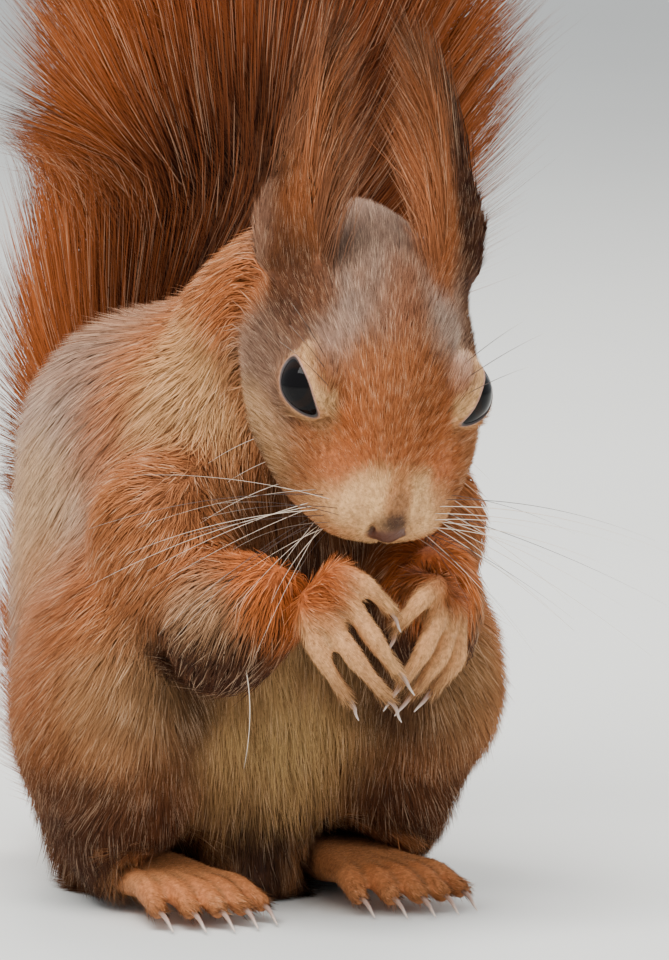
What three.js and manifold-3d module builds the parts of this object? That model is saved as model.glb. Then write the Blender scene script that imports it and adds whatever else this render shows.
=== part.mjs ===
// A red squirrel sitting up on its haunches with its hands held together, in mm with +Z up.
// It faces -Y, its right side is -X, and z = 0 is the floor that it rests on.
// Every solid takes in the depth of the coat, so the solids give the outline of the furred animal.
import * as THREE from 'three';
import { mergeVertices } from 'three/addons/utils/BufferGeometryUtils.js';
import Module from 'manifold-3d';

const wasm = await Module();
wasm.setup();

// Driving dimensions.
const gap = 0.35; // clearance between neighbours
const headBow = 57; // degrees that the head is bowed
const headTurn = -7; // degrees that the head turns to its left
const headTilt = 5; // degrees that the head leans to its left
const eyeMiddle = [4, -35, 81.3]; // point between the eyes
const eyeRadius = 5.4;
const eyeSpread = 11.3; // from the middle of the head to the middle of an eyeball
const noseSize = [3.1, 1.9, 2.3]; // half width, half depth and half height
const earLength = 43; // from the crown to the tip of the tuft
const earHalfWidth = 7;
const earSpread = { right: 13.4, left: 11.4 }; // from the middle of the head
const earLean = { right: 0.05, left: 0.13 }; // inward, for each mm of height
const earSwivel = { right: -40, left: 26 }; // degrees from facing ahead to facing left
const earHalfThickness = 1.7;
const earCup = 4.2; // how far the rims of an ear stand in front of its middle
const tailHalfWidth = 41.5;
const tailHalfDepth = 16;
const tailLengths = 5;
const fingerRadius = 1.9;
const toeRadius = 2.7;
const toeCount = 5;
const footMiddle = { right: 17, left: 14.5 }; // from the middle plane to the middle of a foot
const toeLine = -9; // where the toes leave the foot
const toeReach = 14.5;
const toeFan = 8.6; // how far the outer toes spread to each side
const clawRadius = 0.8;

const sideOf = { right: -1, left: 1 };
const forward = new THREE.Vector3(0, -1, 0);
const leftward = new THREE.Vector3(1, 0, 0);
const upward = new THREE.Vector3(0, 0, 1);

// Finishes: colour, roughness.
const finishes = {
  grizzled: [0x7d6048, 0.9],
  rust: [0x9a4f27, 0.9],
  chestnut: [0x7a3517, 0.92],
  orange: [0xb4662f, 0.9],
  cream: [0xc9b08a, 0.9],
  skinPink: [0xb98f72, 0.7],
  eyeBlack: [0x0b0a0c, 0.08],
  noseBrown: [0x6b4a3c, 0.55],
  horn: [0xcdb7a2, 0.4],
};

// Shape helpers.

const point = (values) => new THREE.Vector3(...values);

const mirrored = (values, side) => [values[0] * side, ...values.slice(1)];

// How full a ring is at a share of the length, with the two ends rounded over the given shares.
function fullness(share, round) {
  const fromEnd = [share / (round[0] || 1e-9), (1 - share) / (round[1] || 1e-9)];
  const full = fromEnd.map((part) => (part < 1 ? Math.sqrt(1 - (1 - part) ** 2) : 1));
  return full[0] * full[1];
}

// A closed body of oval rings along a bone. A station is [x, y, z, half width, half depth], and
// the half width runs along the across direction. The cup brings both rims of a ring forward,
// and the taper narrows the front half of a ring and widens its back half.
function loft(spec, grow = 0) {
  const { stations, across, round = [0.5, 0.5], sides = 16, steps = 12 } = spec;
  const { span = [0, 1], cup = 0, taper = 0 } = spec;
  const bone = new THREE.CatmullRomCurve3(stations.map(([x, y, z]) => point([x, y, z])));
  const girth = new THREE.CatmullRomCurve3(stations.map(([, , , a, b]) => point([a, b, 0])));
  const geometry = new THREE.SphereGeometry(1, sides, steps);
  const { position } = geometry.attributes;
  const start = new THREE.Vector3();
  const firstRing = (1 - Math.cos(Math.PI / steps)) / 2;
  const low = round[0] ? 0 : firstRing; // a flat end has its first ring right at the end
  const high = round[1] ? 1 : 1 - firstRing;
  for (let i = 0; i < position.count; i += 1) {
    start.fromBufferAttribute(position, i);
    const share = THREE.MathUtils.clamp(((1 - start.y) / 2 - low) / (high - low), 0, 1);
    const pole = Math.abs(start.y) > 1 - 1e-6;
    const at = THREE.MathUtils.lerp(span[0], span[1], share);
    const along = bone.getTangent(at);
    const wide = across.clone().addScaledVector(along, -across.dot(along)).normalize();
    const deep = along.clone().cross(wide);
    const size = girth.getPoint(at);
    const full = pole ? 0 : fullness(share, round);
    const ring = new THREE.Vector2(start.x, start.z);
    if (!pole) ring.normalize();
    const narrowing = 1 - taper * ring.y;
    const place = bone.getPoint(at);
    place.addScaledVector(along, grow * (2 * share - 1));
    place.addScaledVector(wide, ring.x * narrowing * (size.x + grow) * full);
    place.addScaledVector(deep, ring.y * (size.y + grow) * full + cup * full * ring.x ** 2);
    position.setXYZ(i, place.x, place.y, place.z);
  }
  return solidOf(geometry);
}

function solidOf(geometry) {
  const bare = new THREE.BufferGeometry();
  bare.setAttribute('position', geometry.attributes.position);
  bare.setIndex(geometry.index);
  const welded = mergeVertices(bare, 1e-4);
  const vertProperties = new Float32Array(welded.attributes.position.array);
  const triVerts = new Uint32Array(welded.index.array);
  return new wasm.Manifold(new wasm.Mesh({ numProp: 3, vertProperties, triVerts }));
}

function ball(centre, radii, turn = new THREE.Matrix4(), sides = 16, grow = 0) {
  const geometry = new THREE.SphereGeometry(1, sides, Math.round(sides * 0.7));
  geometry.scale(...radii.map((radius) => radius + grow));
  geometry.applyMatrix4(turn);
  geometry.translate(...centre);
  return solidOf(geometry);
}

function cutBy(solid, neighbours) {
  const left = neighbours.reduce((rest, neighbour) => rest.subtract(neighbour), solid);
  return left.decompose().sort((a, b) => b.volume() - a.volume())[0];
}

const belowFloor = solidOf(new THREE.BoxGeometry(400, 400, 60).translate(0, 0, -30));

const squirrel = new THREE.Group();

function addNode(name, solid, finish) {
  const { vertProperties, triVerts, numProp } = solid.getMesh();
  const geometry = new THREE.BufferGeometry();
  const kept = [];
  for (let i = 0; i < vertProperties.length; i += numProp) kept.push(...vertProperties.slice(i, i + 3));
  geometry.setAttribute('position', new THREE.Float32BufferAttribute(kept, 3));
  geometry.setIndex([...triVerts]);
  geometry.computeVertexNormals();
  const [color, roughness] = finishes[finish];
  const material = new THREE.MeshStandardMaterial({ color, roughness, metalness: 0 });
  const mesh = new THREE.Mesh(geometry, material);
  mesh.name = name;
  squirrel.add(mesh);
}

// Trunk: upright rings from the rump to the withers, each from its front to its back.

const trunkRings = [ // height, front, back, half width, sideways lean
  [-5, 2, 42, 21.5, 0],
  [8, -6, 46, 27, 0],
  [20, -9, 50, 29.5, 0],
  [35, -11, 52, 31, 0],
  [50, -15, 51.5, 31.5, 0],
  [63, -20, 49, 31, 0.5],
  [75, -21, 43, 28, 1.5],
  [86, -16, 33, 22, 2.5],
  [97, -6, 21, 15, 3],
];

function trunk(grow = 0) {
  const stations = trunkRings.map(([height, front, back, halfWidth, lean]) => (
    [lean, (front + back) / 2, height, halfWidth, (back - front) / 2]));
  return loft({ stations, across: leftward, round: [0.08, 0.25], sides: 20, steps: 14 }, grow);
}

// Head: rings from the nose to the back of the skull, in a frame between the eyes.

const headPose = new THREE.Matrix4().makeRotationZ(THREE.MathUtils.degToRad(headTurn))
  .multiply(new THREE.Matrix4().makeRotationY(THREE.MathUtils.degToRad(headTilt)))
  .multiply(new THREE.Matrix4().makeRotationX(THREE.MathUtils.degToRad(headBow)));
const headLeft = leftward.clone().applyMatrix4(headPose);

const onHead = (ahead, toLeft, above) => (
  new THREE.Vector3(toLeft, -ahead, above).applyMatrix4(headPose).add(point(eyeMiddle)));

const headRings = [ // ahead of the eyes, half width, top, bottom
  [22.5, 6.4, -0.4, -9.8],
  [18.5, 10, 2.2, -13],
  [13, 14, 5, -16.2],
  [6, 16.8, 8.8, -18.2],
  [-2, 17.8, 11.4, -19.2],
  [-10, 18, 12.8, -19.2],
  [-18, 17.2, 12.8, -18],
  [-27, 14.6, 10.6, -14],
  [-35, 9, 5, -8],
];

function head(grow = 0) {
  const stations = headRings.map(([ahead, halfWidth, top, bottom]) => (
    [...onHead(ahead, 0, (top + bottom) / 2).toArray(), halfWidth, (top - bottom) / 2]));
  const round = [0.12, 0.3];
  return loft({ stations, across: headLeft, round, sides: 20, steps: 15, taper: -0.32 }, grow);
}

function eye(side, grow = 0) {
  const radii = [eyeRadius, eyeRadius, eyeRadius];
  return ball(onHead(0, side * eyeSpread, 1.6).toArray(), radii, undefined, 12, grow);
}

const nose = (grow = 0) => ball(onHead(21.6, 0, -3.4).toArray(), noseSize, headPose, 10, grow);

// Ears: cupped blades that taper into their tufts.

const earRings = [ // share of the ear's length, share of its half width, lean in mm
  [-0.16, 0.6, 1],
  [0.02, 0.92, 0],
  [0.22, 1, -0.6],
  [0.42, 0.86, -0.6],
  [0.6, 0.6, 0],
  [0.8, 0.4, 1.2],
  [1, 0.2, 3],
];

function ear(name) {
  const side = sideOf[name];
  const base = onHead(-19, side * earSpread[name], 4);
  const axis = new THREE.Vector3(-earLean[name] * side, -0.11, 1).normalize();
  const swivel = THREE.MathUtils.degToRad(earSwivel[name]);
  const opening = new THREE.Vector3(Math.sin(swivel), -Math.cos(swivel), 0.1).normalize();
  const across = opening.clone().cross(axis);
  const stations = earRings.map(([share, width, lean]) => {
    const place = base.clone().addScaledVector(axis, share * earLength);
    place.x -= side * lean;
    return [...place.toArray(), width * earHalfWidth, earHalfThickness * (0.4 + 0.6 * width)];
  });
  return loft({ stations, across, round: [0.24, 0.2], sides: 10, steps: 10, cup: earCup });
}

// Neck: from the shoulders up into the back of the head.

function neck(grow = 0) {
  const stations = [
    [2, 10, 78, 18, 15],
    [4, -2, 86, 19, 17],
    [6, -13, 93, 18, 16],
    [7.5, -21, 98, 14, 13],
  ];
  return loft({ stations, across: leftward, round: [0.2, 0.3], sides: 16, steps: 8 }, grow);
}

// Tail: one bone from the rump along the floor, up behind the back and over at the tip.

const tailBone = [ // x, y, z, share of the full width, share of the full depth
  [0, 44, 10, 0.3, 0.62],
  [3, 61, 10.5, 0.4, 0.68],
  [9, 73, 26, 0.52, 0.72],
  [17, 72, 48, 0.7, 0.82],
  [24.5, 65, 74, 0.89, 0.92],
  [27, 57, 100, 1.04, 1],
  [27.5, 51, 125, 1.03, 1],
  [27, 48, 148, 0.96, 1],
  [24, 54, 170, 0.8, 0.9],
  [21, 68, 182, 0.5, 0.6],
];

const tailBoneLength = new THREE.CatmullRomCurve3(
  tailBone.map(([x, y, z]) => point([x, y, z]))).getLength();

function tailLength(index) {
  const stations = tailBone.map(([x, y, z, wide, deep]) => (
    [x, y, z, wide * tailHalfWidth, deep * tailHalfDepth]));
  const parting = gap / 2 / tailBoneLength;
  const span = [index / tailLengths + parting, (index + 1) / tailLengths - parting];
  const round = [index === 0 ? 0.2 : 0, index === tailLengths - 1 ? 0.75 : 0];
  return loft({ stations, across: leftward, span, round, sides: 18, steps: 6 });
}

// Arms.

const armJoints = {
  right: { shoulder: [-20, -5, 70], elbow: [-21.5, -15, 44.5], wrist: [-10, -37.5, 54] },
  left: { shoulder: [21, -5, 70], elbow: [21, -15, 44.5], wrist: [13, -34.5, 55.5] },
};

function upperArm(name, grow = 0) {
  const { shoulder, elbow } = armJoints[name];
  const middle = point(shoulder).lerp(point(elbow), 0.5).toArray();
  const stations = [[...shoulder, 12, 14], [...middle, 12, 12.5], [...elbow, 10, 10]];
  return loft({ stations, across: leftward, sides: 12, steps: 7, round: [0.4, 0.35] }, grow);
}

function forearm(name, grow = 0) {
  const { elbow, wrist } = armJoints[name];
  const at = (share, drop) => (
    point(elbow).lerp(point(wrist), share).addScaledVector(upward, -drop).toArray());
  const stations = [
    [...at(0, 0), 9, 10.5],
    [...at(0.4, 1), 8.6, 10.5],
    [...at(0.75, 1), 6.8, 8],
    [...at(1, 0), 5, 5],
  ];
  return loft({ stations, across: leftward, sides: 12, steps: 8, round: [0.35, 0.15] }, grow);
}

// Hands: a palm with four fingers, each with its knuckle, bend, tip and the end of its claw.

const fingers = {
  right: [
    [[-6.4, -41, 56], [-3.2, -44.5, 54], [0.1, -45, 50.5], [1.9, -45.4, 47.2]],
    [[-6.6, -43, 52.8], [-3.1, -47, 45.8], [0.2, -47, 41.5], [3.1, -47.2, 37.9]],
    [[-9.4, -43, 49.8], [-6.7, -47, 43.8], [-1, -46.5, 37.5], [1.6, -46, 33.8]],
    [[-11.4, -40.5, 50.2], [-11.2, -44, 44.6], [-6.6, -44.2, 37.6], [-4, -43, 34]],
  ],
  left: [
    [[11.6, -39.5, 52.8], [6.6, -43, 51], [3.4, -42, 47.3], [2.4, -41.2, 43.6]],
    [[11.3, -40.8, 48.4], [7.2, -43.5, 43.6], [4.8, -42, 39.2], [2.2, -41, 35]],
    [[15, -38, 48.8], [11.4, -40.6, 41.8], [7.2, -40.8, 37.2], [4.6, -39.8, 33.8]],
    [[17.2, -34.6, 47.6], [15.4, -38.2, 40.8], [11.8, -38, 37], [9.2, -37, 33.8]],
  ],
};

function hand(name, grow = 0) {
  const { wrist } = armJoints[name];
  const knuckles = fingers[name].slice(1, 3).map(([knuckle]) => point(knuckle));
  const ends = knuckles[0].lerp(knuckles[1], 0.5);
  const palm = [
    [...wrist, 4.4, 3.8],
    [...point(wrist).lerp(ends, 0.55).toArray(), 5.4, 4.2],
    [...ends.toArray(), 4.6, 3.2],
  ];
  const across = point(fingers[name][0][0]).sub(point(fingers[name][3][0])).normalize();
  const start = loft({ stations: palm, across, sides: 10, steps: 6, round: [0.3, 0.4] }, grow);
  return fingers[name].reduce((whole, [knuckle, bend, tip]) => {
    const radii = [fingerRadius * 1.05, fingerRadius, fingerRadius * 0.85];
    const stations = [knuckle, bend, tip].map((place, i) => [...place, radii[i], radii[i]]);
    const round = [0.12, 0.12];
    return whole.add(loft({ stations, across: forward, sides: 7, steps: 6, round }, grow));
  }, start);
}

function claw(root, tip, crook) {
  const middle = point(root).lerp(point(tip), 0.5).add(crook).toArray();
  const stations = [
    [...root, clawRadius, clawRadius],
    [...middle, clawRadius * 0.8, clawRadius * 0.9],
    [...tip, clawRadius * 0.34, clawRadius * 0.34],
  ];
  return loft({ stations, across: leftward, sides: 5, steps: 5, round: [0.1, 0.25] });
}

// Legs.

function thigh(side, grow = 0) {
  const stations = [
    [side * 18, 24, 36, 15, 23],
    [side * 22, 8, 34, 16, 26],
    [side * 24, -5, 28, 14.5, 20],
    [side * 24, -15, 23, 11, 13],
  ];
  const round = [0.4, 0.4];
  return loft({ stations, across: leftward, sides: 16, steps: 10, round }, grow);
}

function shank(side, grow = 0) {
  const stations = [
    [side * 24, -10, 20, 10, 9],
    [side * 22, 4, 12, 9.5, 9],
    [side * 19, 15, 8, 7, 7],
  ];
  return loft({ stations, across: leftward, sides: 10, steps: 6, round: [0.35, 0.3] }, grow);
}

// Feet: a sole with five toes, flat on the floor.

function toePlaces(name, index) {
  const side = sideOf[name];
  const fan = (2 * index) / (toeCount - 1) - 1;
  const shorter = 3.4 * fan ** 2;
  const x = side * (footMiddle[name] + 1);
  const base = [x + fan * toeFan * 0.55, toeLine + 2, 4.8];
  const bend = [x + fan * toeFan * 0.85, toeLine - (toeReach - shorter) * 0.5, 5];
  const tip = [x + fan * toeFan, toeLine - (toeReach - shorter), toeRadius * 0.85];
  return [base, bend, tip];
}

function foot(name, grow = 0) {
  const side = sideOf[name];
  const stations = [
    [side * (footMiddle[name] - 1), 15, 5.4, 5.4, 5.6],
    [side * footMiddle[name], 2, 5, 7, 5.4],
    [side * (footMiddle[name] + 1), toeLine, 4.2, 8, 4.6],
  ];
  let whole = loft({ stations, across: leftward, sides: 10, steps: 7, round: [0.25, 0.2] }, grow);
  for (let index = 0; index < toeCount; index += 1) {
    const radii = [toeRadius * 1.05, toeRadius * 1.05, toeRadius * 0.92];
    const toe = toePlaces(name, index).map((place, i) => [...place, radii[i], radii[i]]);
    const round = [0.15, 0.2];
    whole = whole.add(loft({ stations: toe, across: leftward, sides: 7, steps: 5, round }, grow));
  }
  return whole;
}

// Assembly: each flesh node is parted from the neighbours that it meets.

const headGrown = head(gap);
const trunkGrown = trunk(gap);
const neckGrown = neck(gap);

const eyeSockets = Object.values(sideOf).map((side) => eye(side, gap));
addNode('head', cutBy(head(), [...eyeSockets, nose(gap)]), 'grizzled');
addNode('nose', nose(), 'noseBrown');
addNode('neck', cutBy(neck(), [headGrown]), 'rust');

const trunkNeighbours = [belowFloor, headGrown, neckGrown];

for (const [name, side] of Object.entries(sideOf)) {
  addNode(`eye_${name}`, eye(side), 'eyeBlack');
  addNode(`ear_${name}`, cutBy(ear(name), [headGrown, neckGrown]), 'rust');

  const elbowGrown = forearm(name, gap);
  const shoulder = cutBy(upperArm(name), [trunkGrown, neckGrown, headGrown, elbowGrown]);
  addNode(`upper_arm_${name}`, shoulder, 'rust');
  addNode(`forearm_${name}`, cutBy(forearm(name), [trunkGrown, headGrown, hand(name, gap)]), 'orange');
  addNode(`hand_${name}`, cutBy(hand(name), [headGrown]), 'cream');
  const fingerFlesh = hand(name, gap);
  fingers[name].forEach(([, , tip, end], index) => {
    const crook = new THREE.Vector3(0, -0.7, 0.5);
    addNode(`hand_claw_${name}_${index + 1}`, cutBy(claw(tip, end, crook), [fingerFlesh]), 'horn');
  });

  const footGrown = foot(name, gap);
  const armGrown = [elbowGrown, upperArm(name, gap)];
  addNode(`thigh_${name}`, cutBy(thigh(side), [trunkGrown, ...armGrown, footGrown]), 'chestnut');
  const thighGrown = thigh(side, gap);
  const ankle = cutBy(shank(side), [thighGrown, footGrown, trunkGrown, belowFloor]);
  addNode(`shank_${name}`, ankle, 'chestnut');
  addNode(`foot_${name}`, cutBy(foot(name), [belowFloor]), 'orange');
  for (let index = 0; index < toeCount; index += 1) {
    const tip = toePlaces(name, index)[2];
    const end = [tip[0], tip[1] - 6.4, 0.45];
    const toeClaw = claw([tip[0], tip[1], tip[2] + 0.6], end, new THREE.Vector3(0, 0, 1));
    addNode(`foot_claw_${name}_${index + 1}`, cutBy(toeClaw, [footGrown, belowFloor]), 'horn');
  }
  trunkNeighbours.push(footGrown);
}

const bareTrunk = cutBy(trunk(), trunkNeighbours);
addNode('trunk', bareTrunk, 'rust');

for (let index = 0; index < tailLengths; index += 1) {
  const length = cutBy(tailLength(index), [trunkGrown, belowFloor]);
  addNode(`tail_${index + 1}`, length, 'chestnut');
}

// The origin goes to the middle of the underside.
const extent = new THREE.Box3().setFromObject(squirrel);
const middle = extent.getCenter(new THREE.Vector3());
squirrel.position.set(-middle.x, -middle.y, 0);
squirrel.updateMatrixWorld(true);

export default squirrel;
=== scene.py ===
import math

import bmesh
import bpy
import numpy as np
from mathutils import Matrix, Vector
from mathutils.bvhtree import BVHTree
from mathutils.kdtree import KDTree


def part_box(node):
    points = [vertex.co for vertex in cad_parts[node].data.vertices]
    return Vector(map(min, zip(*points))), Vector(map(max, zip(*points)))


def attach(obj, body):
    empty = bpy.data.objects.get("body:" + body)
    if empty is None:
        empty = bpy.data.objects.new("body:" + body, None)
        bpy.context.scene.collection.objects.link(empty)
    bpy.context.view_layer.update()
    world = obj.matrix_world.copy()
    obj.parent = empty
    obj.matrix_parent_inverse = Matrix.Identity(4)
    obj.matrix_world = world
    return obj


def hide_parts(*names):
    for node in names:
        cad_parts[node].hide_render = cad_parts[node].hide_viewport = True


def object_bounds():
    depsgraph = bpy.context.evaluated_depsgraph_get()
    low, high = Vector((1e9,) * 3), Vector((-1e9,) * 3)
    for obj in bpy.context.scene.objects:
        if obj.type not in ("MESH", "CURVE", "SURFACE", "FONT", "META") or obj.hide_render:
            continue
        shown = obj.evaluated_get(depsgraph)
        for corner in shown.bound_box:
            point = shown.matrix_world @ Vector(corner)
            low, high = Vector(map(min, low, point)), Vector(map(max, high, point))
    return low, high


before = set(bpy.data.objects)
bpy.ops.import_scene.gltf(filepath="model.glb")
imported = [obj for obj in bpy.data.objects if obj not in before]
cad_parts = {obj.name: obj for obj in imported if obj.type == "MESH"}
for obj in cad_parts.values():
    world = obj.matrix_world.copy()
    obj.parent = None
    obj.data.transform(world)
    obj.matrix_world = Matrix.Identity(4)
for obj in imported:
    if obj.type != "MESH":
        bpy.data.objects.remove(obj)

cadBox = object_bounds()
mm = 0.001
sides = {"right": -1, "left": 1}
up = np.array((0.0, 0.0, 1.0))
left = np.array((1.0, 0.0, 0.0))
rear = np.array((0.0, 1.0, 0.0))


# Small helpers for arrays of points.

def unit(vectors):
    vectors = np.asarray(vectors, float)
    length = np.linalg.norm(vectors, axis=-1, keepdims=True)
    return vectors / np.maximum(length, 1e-12)


def smooth(low, high, values):
    share = np.clip((values - low) / (high - low), 0, 1)
    return share * share * (3 - 2 * share)


def tangent(vectors, normals):
    return vectors - normals * np.sum(vectors * normals, axis=-1, keepdims=True)


def boxMiddle(node):
    low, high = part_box(node)
    return np.array((low + high) / 2)


# A place in a node's box, where -1 and 1 are its two faces along each axis.
def inBox(node, x, y, z):
    low, high = (np.array(corner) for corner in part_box(node))
    return (low + high) / 2 + (high - low) / 2 * np.array((x, y, z))


def pointsOf(mesh):
    points = np.empty(len(mesh.vertices) * 3)
    mesh.vertices.foreach_get("co", points)
    return points.reshape(-1, 3)


def nodePoints(*names):
    return np.concatenate([pointsOf(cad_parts[name].data) for name in names])


# The middle of some points and the line that they lie along.
def longAxis(points, towards):
    middle = points.mean(0)
    axis = np.linalg.eigh(np.cov((points - middle).T))[1][:, 2]
    return middle, axis if axis @ towards > 0 else -axis


# Gentle waves over the body, the same on every run.
def waves(points, size, seed, count=5):
    rng = np.random.default_rng(seed)
    turns = unit(rng.normal(size=(count, 3))) * (2 * math.pi / size)
    turns *= rng.uniform(0.6, 1.7, (count, 1))
    return np.sin(points @ turns.T + rng.uniform(0, 2 * math.pi, count)).sum(1) / math.sqrt(count)


def meshFrom(name, points, faces, smoothShaded=True):
    mesh = bpy.data.meshes.new(name)
    faces = np.asarray(faces, np.int32)
    mesh.vertices.add(len(points))
    mesh.vertices.foreach_set("co", np.asarray(points, np.float32).ravel())
    mesh.loops.add(faces.size)
    mesh.loops.foreach_set("vertex_index", faces.ravel())
    mesh.polygons.add(len(faces))
    mesh.polygons.foreach_set("loop_start", np.arange(len(faces), dtype=np.int32) * faces.shape[1])
    mesh.update(calc_edges=True)
    if smoothShaded:
        mesh.shade_smooth()
    return mesh


def pieceFrom(name, mesh):
    piece = bpy.data.objects.new(name, mesh)
    bpy.context.scene.collection.objects.link(piece)
    return piece


def facesFrom(*corners):
    return np.stack(corners, 1).reshape(-1, 3)


# Rows of points round a tube are joined by two triangles for each side.
def tubeSides(rows, around):
    row, j = np.divmod(np.arange((rows - 1) * around), around)
    k = (j + 1) % around
    a, b, c, d = row * around + j, row * around + k, (row + 1) * around + k, (row + 1) * around + j
    return facesFrom(a, b, c, a, c, d)


# The same, with its two ends closed by the middle points that come after the rows.
def tubeFaces(rows, around):
    j = np.arange(around)
    k, end = (j + 1) % around, (rows - 1) * around
    first, last = np.full((2, around), rows * around) + [[0], [1]]
    return np.concatenate([tubeSides(rows, around), facesFrom(first, k, j, last, end + j, end + k)])


def faceCrosses(points, faces):
    corners = points[faces]
    return np.cross(corners[:, 1] - corners[:, 0], corners[:, 2] - corners[:, 0])


# Stations set at even steps along their line, whose first three columns are places.
def evenly(stations, count):
    steps = np.linalg.norm(np.diff(stations[:, :3], axis=0), axis=1)
    reach = np.concatenate(([0], np.cumsum(steps)))
    run = np.linspace(0, reach[-1], count)
    return np.stack([np.interp(run, reach, column) for column in stations.T], 1)


# Hairs as curves from their roots, past their bends, to their tips.
def bentPaths(root, bend, tip, along):
    t = along[None, :, None]
    return root[:, None] * (1 - t) ** 2 + bend[:, None] * 2 * t * (1 - t) + tip[:, None] * t ** 2


# A row of values made gentler, with its two ends kept.
def relax(row, rounds):
    for _ in range(rounds):
        row[1:-1] = row[1:-1] * 0.5 + (row[:-2] + row[2:]) * 0.25
    return row


def keepValues(mesh, values):
    for name, numbers in values.items():
        kind = "FLOAT" if numbers.ndim == 1 else "FLOAT_VECTOR"
        layer = mesh.attributes.new(name, kind, "POINT")
        layer.data.foreach_set("value" if numbers.ndim == 1 else "vector",
                               np.asarray(numbers, np.float32).ravel())


# The head's own directions come from the eyes and the nose.

eyeCentre = {side: boxMiddle("eye_" + side) for side in sides}
eyeRadius = (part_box("eye_right")[1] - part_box("eye_right")[0]).z / 2
eyeMiddle = (eyeCentre["right"] + eyeCentre["left"]) / 2
headLeft = unit(eyeCentre["left"] - eyeCentre["right"])
toNose = unit(tangent(boxMiddle("nose") - eyeMiddle, headLeft))
noseDrop = math.atan(5 / 21.6)  # the nose lies this far below the line straight ahead
headAhead = toNose * math.cos(noseDrop) - np.cross(headLeft, toNose) * math.sin(noseDrop)
headUp = np.cross(headLeft, -headAhead)
eyeRise = 1.6 * mm  # the eyes' middle above the middle of the head
headMiddle = eyeMiddle - headUp * eyeRise


def onHead(ahead, toLeft, above):
    return headMiddle + (headAhead * ahead + headLeft * toLeft + headUp * above) * mm


def headPlaces(points):
    away = points - headMiddle
    return away @ headAhead / mm, away @ headLeft / mm, away @ headUp / mm


# Shading: a socket that takes part in Python expressions, and a maker of nodes.

class Wire:
    def __init__(self, tree, socket):
        self.tree, self.socket = tree, socket

    def math(self, operation, other=None, swapped=False, clamp=False):
        node = self.tree.nodes.new("ShaderNodeMath")
        node.operation, node.use_clamp = operation, clamp
        ends = [self, other] if not swapped else [other, self]
        for socket, value in zip(node.inputs, ends):
            if isinstance(value, Wire):
                self.tree.links.new(value.socket, socket)
            elif value is not None:
                socket.default_value = value
        return Wire(self.tree, node.outputs[0])

    def __add__(self, other): return self.math("ADD", other)
    def __radd__(self, other): return self.math("ADD", other)
    def __sub__(self, other): return self.math("SUBTRACT", other)
    def __rsub__(self, other): return self.math("SUBTRACT", other, swapped=True)
    def __mul__(self, other): return self.math("MULTIPLY", other)
    def __rmul__(self, other): return self.math("MULTIPLY", other)


class Finish:
    def __init__(self, name):
        self.material = bpy.data.materials.new(name)
        self.material.use_nodes = True
        self.tree = self.material.node_tree
        self.tree.nodes.clear()

    def add(self, kind, settings=None, values=None, output=0):
        node = self.tree.nodes.new(kind)
        for name, value in (settings or {}).items():
            setattr(node, name, value)
        for name, value in (values or {}).items():
            socket = node.inputs[name]
            if isinstance(value, Wire):
                self.tree.links.new(value.socket, socket)
            else:
                socket.default_value = value
        return Wire(self.tree, node.outputs[output]) if node.outputs else None

    def mix(self, first, second, share, blend="MIX"):
        colours = {6: first, 7: second}
        for key, value in colours.items():
            if not isinstance(value, Wire):
                colours[key] = (*value, 1)
        settings = {"data_type": "RGBA", "blend_type": blend}
        return self.add("ShaderNodeMix", settings, {0: share, **colours}, 2)

    def tint(self, first, second):
        return self.mix(first, second, 1.0, "MULTIPLY")

    def value(self, name, output="Fac"):
        return self.add("ShaderNodeAttribute", {"attribute_name": name}, None, output)

    def noise(self, scale, detail=3.0, place=None):
        spot = place or self.add("ShaderNodeNewGeometry", None, None, "Position")
        values = {"Vector": spot, "Scale": scale, "Detail": detail, "Roughness": 0.55}
        return self.add("ShaderNodeTexNoise", None, values)

    def band(self, value, low, high):
        settings = {"interpolation_type": "SMOOTHSTEP"}
        return self.add("ShaderNodeMapRange", settings, {0: value, 1: low, 2: high})

    def surface(self, values):
        shader = self.add("ShaderNodeBsdfPrincipled", None, values)
        self.add("ShaderNodeOutputMaterial", None, {"Surface": shader})
        return self.material


def shade(red, green, blue):  # screen values to linear light
    return tuple((c / 255 / 12.92 if c < 10.3 else ((c / 255 + 0.055) / 1.055) ** 2.4)
                 for c in (red, green, blue))


# Skin: the solids of flesh grown together, then drawn in by the coat's depth.

bodyPlan = {  # nodes, the coat's depth over the skin in mm, and the rounding of the flesh
    "head": (("head", "nose"), 1.5, 0.35),
    "neck": (("neck",), 2.8, 0.9),
    "trunk": (("trunk",), 3.3, 1.0),
    "ear": (("ear_",), 0.45, 0.25),  # a name that ends so has a right and a left one
    "arm": (("upper_arm_",), 2.5, 0.9),
    "forearm": (("forearm_",), 1.9, 0.7),
    "hand": (("hand_",), 0.0, 0.1),
    "thigh": (("thigh_",), 3.0, 1.0),
    "shank": (("shank_",), 1.9, 0.7),
    "foot": (("foot_",), 0.0, 0.1),
    "tail": (("tail_1", "tail_2", "tail_3", "tail_4", "tail_5"), 0.0, 0.6),
}
flesh = {}
for part, (nodes, depth, rounding) in bodyPlan.items():
    for side in sides if nodes[0].endswith("_") else ("",):
        names = tuple(node + side for node in nodes)
        flesh[part + side.title()] = {"nodes": names, "depth": depth, "round": rounding}
parts = list(flesh)
skinDetail = {
    "voxel": 0.95,  # mm
    "pawVoxel": 0.52,
    "overlap": 0.32,  # growth that joins neighbouring solids
    "earShare": 0.63,  # the leaf's share of an ear with its tuft
    "tailFuller": 1.07,  # how far the brush stands past its solids
    "tailCore": 5.2,
    "tailCoreTip": 2.2,
    "tailShare": 0.5,  # how much of the brush is filled by the skin
    "rounds": 60,  # of smoothing before the coat's depth is taken off
    "floorReach": 7,  # mm above the floor, where the coat is pressed thin
    "pressed": 0.12,  # and how thin it is pressed
    "fillOut": 3.5,  # mm at most, that broad parts are filled out again
}


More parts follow.
